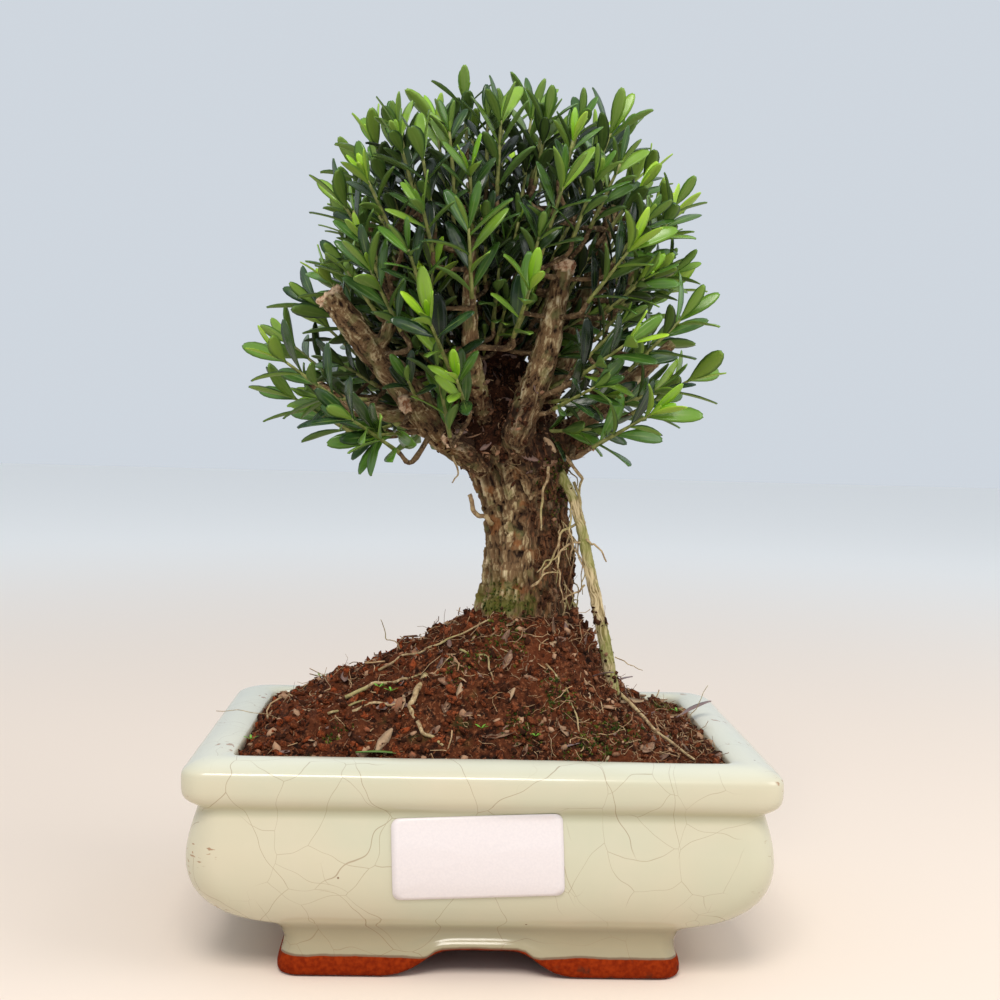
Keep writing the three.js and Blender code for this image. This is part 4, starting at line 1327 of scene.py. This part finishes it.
# Foot, top and age of the shoots that grow straight in front of the left stump, the upper one fresh
for foot, top, age in (((-13, -24, 166), (-19, -33, 194), 0.2), ((-20, -30, 196), (-20, -35, 218), 1.3),
                       ((-30, -22, 170), (-37, -30, 168), 0.2), ((-24, -24, 178), (-27, -33, 184), 0.2)):
    foot, top = np.array(foot, dtype=float), np.array(top, dtype=float)
    axis = unit(top - foot)
    hold = footholds[int(np.argmin(np.linalg.norm(footholds - foot, axis=1)))]
    shoot = {"axis": axis, "base": foot, "top": top, "length": float(np.linalg.norm(top - foot)), "hold": hold,
             "elbow": foot - axis * 3, "in_front": True, "young": age}
    settle_shoot(shoot, len(shoots) + 1)
    pairs = int(shoot["length"] / 5)
    grow_leaves(shoot, pairs, 0.8, small_turns, outer_leaves, small_size)

elbows = [shoot["elbow"][None] for shoot in shoots]
inner_leaves = []
carriers = np.vstack([footholds] + elbows)
for shoot in fill_crown(48, 0.25, (0.9, 1.0), 4, 1.0, carriers, 0.4):
    grow_leaves(shoot, shoot["pairs"], 1.2, small_turns, outer_leaves, small_size)
for shoot in fill_crown(190, -0.55, (0.55, 0.97), 4, 1.1, carriers):
    grow_leaves(shoot, shoot["pairs"], 1.1, small_turns, inner_leaves, small_size)
budding = list(shoots)

# Old shoots deep inside, painted dark as shade, which close the crown's view from the front to the back
deep_leaves = []
for shoot in fill_crown(170, -0.6, (0.22, 0.6), 3, 0.6, footholds):
    grow_leaves(shoot, shoot["pairs"], 0.9, small_turns, deep_leaves, small_size)

# Buds: a last small pair of leaves on top of most shoots, bright on those that are still growing
for number, shoot in enumerate(budding):
    if chance() < 0.8:
        turn = spread(0, math.pi)
        axis = shoot["axis"]
        side = unit(np.cross(axis, (0.3, 0.2, 1)))
        front = np.cross(axis, side)
        for half in (0, math.pi):
            away = side * math.cos(turn + half) + front * math.sin(turn + half)
            bud = (shoot["top"] - axis, unit(axis + away * 0.28), unit(axis * 0.28 - away), spread(6, 10), 0.1,
                   1.3 * shoot["young"] ** 0.5)
            (outer_leaves if number < outer_shoots else inner_leaves).append(bud)


def leaf_pattern(name, shape, outline, columns):
    """One blade of length 1: narrow at its root, widest beyond the middle, with a blunt notched tip."""
    bend, fold, breadth, twist = shape
    points, blade = [], []
    for share, width in outline:
        half = leaf_half_width * breadth * width
        angle = twist * share
        for layer in (1, 0):
            for column in columns if layer else columns[1:-1]:
                across = half * column
                rise = fold * half * abs(column) ** 1.4 - bend * share**2
                rise += (0.011 if layer else -0.011) * (1 - abs(column)) * 2
                notch = 0.025 * (1 - abs(column)) if share == 1 else 0
                points.append((share - notch, across * math.cos(angle), rise + across * math.sin(angle)))
                blade.append((share, column, layer if abs(column) < 1 else 0.5))
    wide = len(columns)
    around = 2 * wide - 2
    top = list(range(wide))
    under = [0] + list(range(wide, around)) + [wide - 1]
    faces = []
    for row in range(len(outline) - 1):
        here, beyond = row * around, (row + 1) * around
        for k in range(wide - 1):
            faces.append((here + top[k], beyond + top[k], beyond + top[k + 1], here + top[k + 1]))
            faces.append((here + under[k], here + under[k + 1], beyond + under[k + 1], beyond + under[k]))
    last = (len(outline) - 1) * around
    rim = top + under[-2:0:-1]
    faces += [tuple(rim), tuple(last + k for k in reversed(rim))]
    mesh = bpy.data.meshes.new(name)
    mesh.from_pydata(points, [], faces)
    piece = bpy.data.objects.new(name, mesh)
    mark(piece, "blade", np.array(blade))
    return piece


def leaf_tree():
    """Geometry nodes that set a blade on each point, facing and sized as the point says."""
    group = bpy.data.node_groups.new("set leaves", "GeometryNodeTree")
    add_sockets(group, "OUTPUT", {"Geometry": "Geometry"})
    add_sockets(group, "INPUT", {"Roots": "Geometry", "Bits": "Collection", "Breadth": "Float",
                                 "Finish": "Material"})
    given = group.nodes.new("NodeGroupInput").outputs

    def stored(name, kind):
        """A value stored on the points."""
        node = place(group, "GeometryNodeInputNamedAttribute", {"Name": name}, data_type=kind)
        return node.outputs[0]

    size = stored("size", "FLOAT")
    wide = times(group, size, given["Breadth"])
    scale = place(group, "ShaderNodeCombineXYZ", {0: size, 1: wide, 2: size}).outputs[0]
    inputs = {"Primary Axis": stored("along", "FLOAT_VECTOR"),
              "Secondary Axis": stored("upper", "FLOAT_VECTOR")}
    facing = place(group, "FunctionNodeAxesToRotation", inputs, primary_axis="X", secondary_axis="Z")
    inputs = {"Points": given["Roots"], "Instance": patterns_in(group, given["Bits"]), "Pick Instance": True,
              "Instance Index": stored("pick", "INT"), "Rotation": facing.outputs[0], "Scale": scale}
    placed = place(group, "GeometryNodeInstanceOnPoints", inputs)
    return ended(group, placed.outputs[0], given["Finish"])


foliage, tree, shader, where = new_finish("glossy boxwood leaf")
blade = place(tree, "ShaderNodeSeparateXYZ", {0: marked(tree, "blade", "Vector")})
along_blade, across_blade, is_upper = blade.outputs
off_rib = unsigned(tree, across_blade)
tint = marked(tree, "tint")
young = marked(tree, "young")
painted_crowd_shade = marked(tree, "deep")
veins = noise_of(tree, where, 700.0)
old = tinted(tree, ramp(tree, tint, 0.1, 0.75), (0.012, 0.040, 0.013), (0.082, 0.196, 0.020))
old = tinted(tree, ramp(tree, tint, 0.76, 0.96), old, (0.210, 0.360, 0.034))
blotches = ramp(tree, noise_of(tree, where, 160.0, 2.0), 0.4, 0.65, 0.0, 0.3)
old = tinted(tree, blotches, old, (0.085, 0.180, 0.020))
# Painted shade: leaves crowded by others outside them are darkened nearly to black, their pale undersides too,
# and their midribs fade.
old = tinted(tree, times(tree, painted_crowd_shade, 0.97), old, (0.004, 0.010, 0.003))
fresh = tinted(tree, tint, (0.180, 0.400, 0.016), (0.420, 0.640, 0.035))
green = tinted(tree, ramp(tree, young, 0.4, 1.1), old, fresh)
pale_back = tinted(tree, young, (0.095, 0.175, 0.036), (0.27, 0.42, 0.045))
pale_back = tinted(tree, times(tree, painted_crowd_shade, 0.9), pale_back, (0.014, 0.026, 0.008))
green = tinted(tree, ramp(tree, is_upper, 0.45, 0.05), green, pale_back)
rib = times(tree, ramp(tree, off_rib, 0.04, 0.16, 0.5, 0.0), ramp(tree, along_blade, 0.9, 0.5))
rib = times(tree, rib, ramp(tree, painted_crowd_shade, 0.1, 0.7, 1.0, 0.2))
green = tinted(tree, rib, green, (0.20, 0.29, 0.07))
green = tinted(tree, ramp(tree, off_rib, 0.93, 1.0, 0.0, 0.25), green, (0.20, 0.28, 0.08))
sheen = ramp(tree, is_upper, 0.2, 0.8, 0.5, 0.24)
finish_with(tree, shader, green, sheen, veins, depth=0.15, reach=0.0002, gloss=0.42)

# Bend, fold, breadth and twist of each kind of blade
blade_shapes = [(0.03, 0.15, 0.95, 0.1), (0.06, 0.3, 1.0, -0.2), (0.10, 0.2, 1.08, 0.25),
                (0.14, 0.1, 0.92, -0.1), (0.18, 0.25, 1.04, 0.3)]
full_outline = [(0, 0.1), (0.1, 0.2), (0.27, 0.6), (0.46, 0.91), (0.63, 1), (0.8, 0.88), (0.93, 0.56), (1, 0.2)]
inner_outline = [(0, 0.12), (0.22, 0.46), (0.45, 0.9), (0.68, 0.98), (0.89, 0.7), (1, 0.22)]
deep_outline = [(0, 0.15), (0.3, 0.66), (0.62, 1), (0.88, 0.72), (1, 0.25)]
leaf_group = leaf_tree()


def middles_of(rows):
    """The middle of each leaf in the rows."""
    return np.array([row[0] + row[1] * row[3] * 0.5 for row in rows])


all_middles = middles_of(outer_leaves + inner_leaves + deep_leaves)


def crowding(rows):
    """How many leaves stand outside each leaf of the rows, from 0 for none to 1 for enough to shade it."""
    middles = middles_of(rows)
    outs = middles - heart
    outs /= np.linalg.norm(outs, axis=1)[:, None]
    count = np.zeros(len(rows))
    for further in (10, 21):
        apart = np.linalg.norm((middles + further * outs)[:, None] - all_middles[None], axis=2)
        count += (apart < 9).sum(axis=1)
    return np.clip((count - 2) / 9.5, 0, 1) ** 0.75


def leafy(name, rows, outline, columns, finish, tints=None):
    """One plain mesh of all the leaves in the rows, with how deep inside the crown each one sits, for the shade
    painted on it.
    """
    piece = piece_of(name, [row[0] for row in rows], [])
    mark(piece, "along", np.array([row[1] for row in rows]))
    mark(piece, "upper", np.array([row[2] for row in rows]))
    mark(piece, "size", np.array([row[3] * mm for row in rows]))
    mark(piece, "young", np.array([row[5] for row in rows]))
    # Painted shade inside the crown: how crowded each leaf is sets how dark it is painted.
    mark(piece, "deep", crowding(rows))
    mark(piece, "tint", np.array([chance() for _ in rows]) if tints is None else np.array(tints))
    pick = piece.data.attributes.new("pick", "INT", "POINT")
    pick.data.foreach_set("value", [min(4, int(row[4] / 2.2 * 5)) for row in rows])
    blades = [leaf_pattern("blade_%d" % k, shape, outline, columns) for k, shape in enumerate(blade_shapes)]
    patterned(piece, leaf_group, blades, {"Breadth": 1.0, "Finish": finish})
    return piece


all_sprays = ["spray_%02d" % (k + 1) for k in range(outer_shoots)]
five_columns, three_columns = (-1, -0.5, 0, 0.5, 1), (-1, 0, 1)
outer = leafy("leaves", outer_leaves, full_outline, five_columns, foliage)
hand_in(outer, foliage, "leaf", *all_sprays)
inner = leafy("inner_leaves", inner_leaves, inner_outline, five_columns, foliage)
hand_in(inner, foliage, "leaf", *all_sprays)
deepest = leafy("deep_leaves", deep_leaves, deep_outline, three_columns, foliage)
hand_in(deepest, foliage, "leaf", *all_sprays)

# Shoot stems
# The green stems of the shoots, thin six-sided tubes, thickened a little at every other point along them.
stem_limbs = []
for shoot in shoots:
    count = 7
    path = np.array([shoot["base"] + (shoot["top"] - shoot["base"]) * k / (count - 1) for k in range(count)])
    path[0] -= shoot["axis"] * 0.8
    stem_limbs.append((path, np.linspace(0.72, 0.4, count) * (1 + 0.14 * (np.arange(count) % 2))))
stems = tubes("green_stems", stem_limbs, 6)
stems.data.shade_smooth()
stem_finish, tree, shader, where = new_finish("green stem")
streak = grain_of(tree, where, 500.0, 4.0)
colour = tinted(tree, ramp(tree, streak, 0.35, 0.65), (0.14, 0.16, 0.035), (0.27, 0.28, 0.08))
finish_with(tree, shader, colour, 0.6, streak, depth=0.3, reach=0.0002)
hand_in(stems, stem_finish, "leaf", *all_sprays)

# Branchlets
# Thin woody twigs from the boughs to the shoots, with small knots where leaves once stood.
twig_limbs = []
for shoot in shoots:
    thick = 1.0 if shoot["owner"] <= outer_shoots else 0.75
    path = curved([shoot["hold"], shoot["elbow"], shoot["base"]], 5)
    radii = np.linspace(thick, 0.68, len(path)) * (1 + 0.2 * (np.arange(len(path)) % 3 == 1))
    twig_limbs.append((path, radii))
twigs = tubes("branchlets", twig_limbs, 7)
twigs.data.shade_smooth()
twig_finish, tree, shader, where = new_finish("twig bark")
colour, grain = mottle_of(tree, where, 260.0, (0.045, 0.024, 0.012), (0.16, 0.10, 0.05), (0.34, 0.25, 0.14))
finish_with(tree, shader, colour, 0.85, grain, depth=0.6, reach=0.0004, gloss=0.2)
hand_in(twigs, twig_finish, "bark", "trunk")

# Rootlets
# Fine roots that hang from the right of the trunk, and stouter ones that the rain has washed bare on the
# mound, pale and dry, with a few dead twigs.


def wandering(points, amount, seed):
    """A smooth path through the points that strays a little on its way, as roots do."""
    way = curved(points, 6)
    stray = [[noise.noise(Vector((k * 0.26, seed * 3.7, 7.0 * axis))) for axis in range(3)]
             for k in range(len(way))]
    return way + amount * np.array(stray) * np.sin(np.linspace(0, math.pi, len(way)))[:, None]


def rooted(points, thick, thin, amount, seed):
    """A wandering root as a path and its radii."""
    way = wandering(points, amount, seed)
    bumps = 1 + 0.18 * np.array([noise.noise(Vector((k * 0.9, seed, 3))) for k in range(len(way))])
    return way, np.linspace(thick, thin, len(way)) * bumps


def on_mound(points, lift=0.7):
    """A route in plan, laid on the mound."""
    return [(x, y, float(soil_height(x, y)) + lift) for x, y in points]


# Path, and the radius at its start and end
hanging_roots = [
    ([(29, -12, 152), (32, -16, 142), (33, -18, 133), (37, -19, 131), (40, -19, 126)], 0.55, 0.25),
    ([(32, -14, 139), (26, -17, 136), (22, -19, 128), (19, -19, 121), (15, -18, 117)], 0.5, 0.22),
    ([(33, -17, 133), (27, -18, 131), (21, -19, 127), (17, -19, 122)], 0.42, 0.2),
    ([(28, -14, 150), (28, -17, 141), (28, -19, 133), (28, -19, 126)], 0.42, 0.2),
    ([(24, -19, 128), (24, -20, 121), (26, -19, 112)], 0.35, 0.18),
    ([(15, -19, 117), (20, -20, 121), (25, -19, 122)], 0.32, 0.2),
    ([(33, -18, 118), (30, -19, 115), (26, -20, 114), (25, -19, 112)], 0.4, 0.2),
    ([(20, -16, 157), (18, -18, 147), (18, -19, 136)], 0.55, 0.3),
    ([(31, -16, 136), (32, -17, 125), (32, -18, 117)], 0.35, 0.16),
    ([(24, -14, 162), (30, -14, 155), (31, -12, 148)], 0.7, 0.4),
    ([(44, -18, 94), (50, -16, 91), (54, -14, 89)], 0.2, 0.1),
    ([(-62, -20, 70), (-75, -24, 74), (-87, -26, 75)], 0.13, 0.1),
    ([(73, 10, 66), (77, 10, 73), (81, 10, 80)], 0.16, 0.1),
    ([(-28, -2, 92), (-33, -3, 98), (-35, -4, 103)], 0.22, 0.12),
    ([(-12, -17, 160), (-10, -18, 154), (-12, -18, 151)], 0.4, 0.2),
    ([(2, -9, 137), (-1, -12, 140), (-4, -13, 143), (-6, -13, 147)], 0.9, 0.75),
]
mound_roots = [
    (on_mound([(-19, -29), (-22, -37), (-23, -42), (-18, -47), (-13, -50)]), 1.15, 0.45),
    (on_mound([(-45, -28), (-36, -26), (-28, -32), (-21, -28)]), 0.75, 0.35),
    (on_mound([(-42, -38), (-34, -37), (-27, -38)]), 0.65, 0.3),
    (on_mound([(-35, -14), (-27, -13), (-18, -17), (-9, -15), (2, -15)]), 0.5, 0.3),
    (on_mound([(46, -17), (54, -28), (61, -40), (66, -50)], 1.0), 0.7, 0.4),
    (on_mound([(-50, -36), (-42, -32), (-36, -33)]), 0.5, 0.25),
    (on_mound([(20, -30), (27, -36), (30, -44)]), 0.4, 0.25),
    (on_mound([(-8, -24), (0, -30), (3, -38)]), 0.45, 0.25),
    (on_mound([(-40, 22), (-30, 28), (-16, 26)]), 0.7, 0.35),
    (on_mound([(30, 24), (42, 30), (56, 28)]), 0.7, 0.35),
]
root_limbs = [rooted(*root, 2.2, k) for k, root in enumerate(hanging_roots)]
root_limbs += [rooted(*root, 2.6, 40 + k) for k, root in enumerate(mound_roots)]
# Fine short ones all over the trunk's right side
for number in range(46):
    level = spread(110, 158)
    turn = math.radians(spread(-80, 15))
    start = trunk_ring(level)[int(turn / (2 * math.pi) * 96) % 96]
    away = np.array([math.cos(turn), math.sin(turn), 0])
    drift = np.array([-math.sin(turn), math.cos(turn), 0]) * spread(-6, 6)
    fall = spread(6, 20)
    points = [start - away, start + away * spread(0.8, 2.5) + drift * 0.3 - (0, 0, fall * 0.3),
              start + away * spread(0.3, 3.5) + drift - (0, 0, fall)]
    root_limbs.append(rooted(points, spread(0.22, 0.4), 0.12, 2.4, 80 + number))
rootlets = tubes("rootlets", root_limbs, 6)
rootlets.data.shade_smooth()
rootlet_finish, tree, shader, where = new_finish("bare root")
colour, grain = mottle_of(tree, where, 330.0, (0.20, 0.12, 0.06), (0.40, 0.29, 0.15), (0.58, 0.46, 0.27))
colour = tinted(tree, ramp(tree, noise_of(tree, where, 60.0), 0.5, 0.65, 0.0, 0.5), colour, (0.30, 0.30, 0.10))
finish_with(tree, shader, colour, 0.75, grain, depth=0.4, reach=0.0003, gloss=0.25)
hand_in(rootlets, rootlet_finish, "bark")

# Fallen leaves
# What has dropped on the mound: a fresh green leaf at the front left, a purple-grey one at the right rim,
# dry tan ones, and the first small leaves of weeds that come up in the peat.
fallen, fallen_tints = [], []
# X, Y, heading, tilt, length and tint: 0 for dry tan, near 0.4 for purple-grey, 1 for green
for x, y, heading, tilt, length, tint in (
        (-40, -52, 0.1, 0.10, 14, 1.0), (70, 10, 0.35, 0.55, 15, 0.5), (56, -41, 1.9, 0.30, 11, 0.3),
        (36, -24, -0.9, 0.45, 10, 0.4), (-6, -37, 2.2, 0.4, 9, 0.0), (-40, -48, 1.1, 0.5, 10, 0.4),
        (-65, 30, 0.7, 0.3, 9, 0.0), (24, -50, 0.6, 0.25, 9, 0.45), (-26, -42, 0.9, 0.3, 8, 0.0),
        (10, 38, 2.6, 0.3, 10, 0.3), (48, 34, 0.4, 0.4, 11, 0.5), (-50, 8, 1.6, 0.3, 8, 0.1)):
    along = unit(np.array([math.cos(heading), math.sin(heading), tilt]))
    across = unit(np.cross((0, 0, 1), along))
    root = np.array([x, y, float(soil_height(x, y)) + 1.2])
    fallen.append((root, along, np.cross(along, across), length, 1.6, 0.2))
    fallen_tints.append(tint)
# Weeds, each four leaves round one foot
for x, y in ((-30, -35), (-74, -38), (72, 20), (-1, -47), (16, -48), (-34, -30), (58, 34), (-58, 34)):
    for turn in (0.4, 2.0, 3.6, 5.1):
        away = np.array([math.cos(turn + x), math.sin(turn + x), 0])
        along, upper = unit(away + (0, 0, 0.5)), unit(np.array([0, 0, 1]) - 0.5 * away)
        root = np.array([x, y, float(soil_height(x, y)) + 1.6])
        fallen.append((root, along, upper, 2.6, 0.5, 1.0))
        fallen_tints.append(1.4)
fallen_finish, tree, shader, where = new_finish("fallen leaf")
kind = marked(tree, "tint")
colour, grain = mottle_of(tree, where, 260.0, (0.22, 0.11, 0.05), (0.42, 0.27, 0.15), (0.60, 0.44, 0.28))
colour = tinted(tree, ramp(tree, kind, 0.15, 0.35), colour, (0.22, 0.15, 0.145))
colour = tinted(tree, ramp(tree, kind, 0.6, 0.9), colour, (0.10, 0.19, 0.035))
colour = tinted(tree, ramp(tree, kind, 1.1, 1.3), colour, (0.16, 0.38, 0.04))
finish_with(tree, shader, colour, 0.6, grain, depth=0.3, reach=0.0003)
fallen_leaves = leafy("fallen_leaves", fallen, full_outline, five_columns, fallen_finish, fallen_tints)
hand_in(fallen_leaves, fallen_finish, "peat")

# Stage
# A pale floor under a pale even sky, with one soft studio light from above in front and a weaker one from
# the right, and the camera where the photograph was taken from.
floor_mesh = bpy.data.meshes.new("studio_floor")
floor_mesh.from_pydata([(-4, -4, 0), (4, -4, 0), (4, 4, 0), (-4, 4, 0)], [], [(0, 1, 2, 3)])
floor = bpy.data.objects.new("studio_floor", floor_mesh)
bpy.context.collection.objects.link(floor)
floor_finish, tree, shader, where = new_finish("pale studio floor")
away = place(tree, "ShaderNodeVectorMath", {0: where}, operation="LENGTH").outputs["Value"]
sheet = tinted(tree, ramp(tree, away, 0.25, 1.6), (0.79, 0.68, 0.585), (0.985, 0.975, 0.95))
finish_with(tree, shader, sheet, 0.7, gloss=0.1)
floor_mesh.materials.append(floor_finish)

world = bpy.data.worlds.new("pale sky")
world.use_nodes = True
world.node_tree.nodes["Background"].inputs["Color"].default_value = (0.625, 0.675, 0.735, 1)
world.node_tree.nodes["Background"].inputs["Strength"].default_value = 1.0
bpy.context.scene.world = world
bpy.context.scene.view_settings.view_transform = "Standard"


def soft_light(name, spot, target, size, watts, colour):
    """A square area light that looks at a point."""
    data = bpy.data.lights.new(name, "AREA")
    data.size = size
    data.energy = watts
    data.color = colour
    lamp = bpy.data.objects.new(name, data)
    bpy.context.collection.objects.link(lamp)
    lamp.location = spot
    lamp.rotation_euler = (Vector(target) - Vector(spot)).to_track_quat("-Z", "Y").to_euler()


soft_light("key", (-0.12, -0.9, 1.2), (0, 0, 0.12), 0.6, 14, (1.0, 0.95, 0.89))
soft_light("fill", (0.9, -0.35, 0.8), (0, 0, 0.12), 0.8, 5, (1.0, 0.98, 0.95))

camera_spot = Vector((-0.016, -0.4955, 0.172))
yaw, pitch, roll = 0.042, 0.055, 0.027
ahead = Vector((math.sin(yaw) * math.cos(pitch), math.cos(yaw) * math.cos(pitch), -math.sin(pitch)))
level_right = Vector((math.cos(yaw), -math.sin(yaw), 0))
level_up = level_right.cross(ahead)
right = level_right * math.cos(roll) + level_up * math.sin(roll)
up = level_up * math.cos(roll) - level_right * math.sin(roll)
lens = bpy.data.cameras.new("photographer")
lens.sensor_width = 36
lens.lens = 36 * 1.444
lens.clip_start = 0.01
camera = bpy.data.objects.new("photographer", lens)
bpy.context.collection.objects.link(camera)
camera.matrix_world = Matrix.Translation(camera_spot) @ Matrix((right, up, -ahead)).transposed().to_4x4()
bpy.context.scene.camera = camera
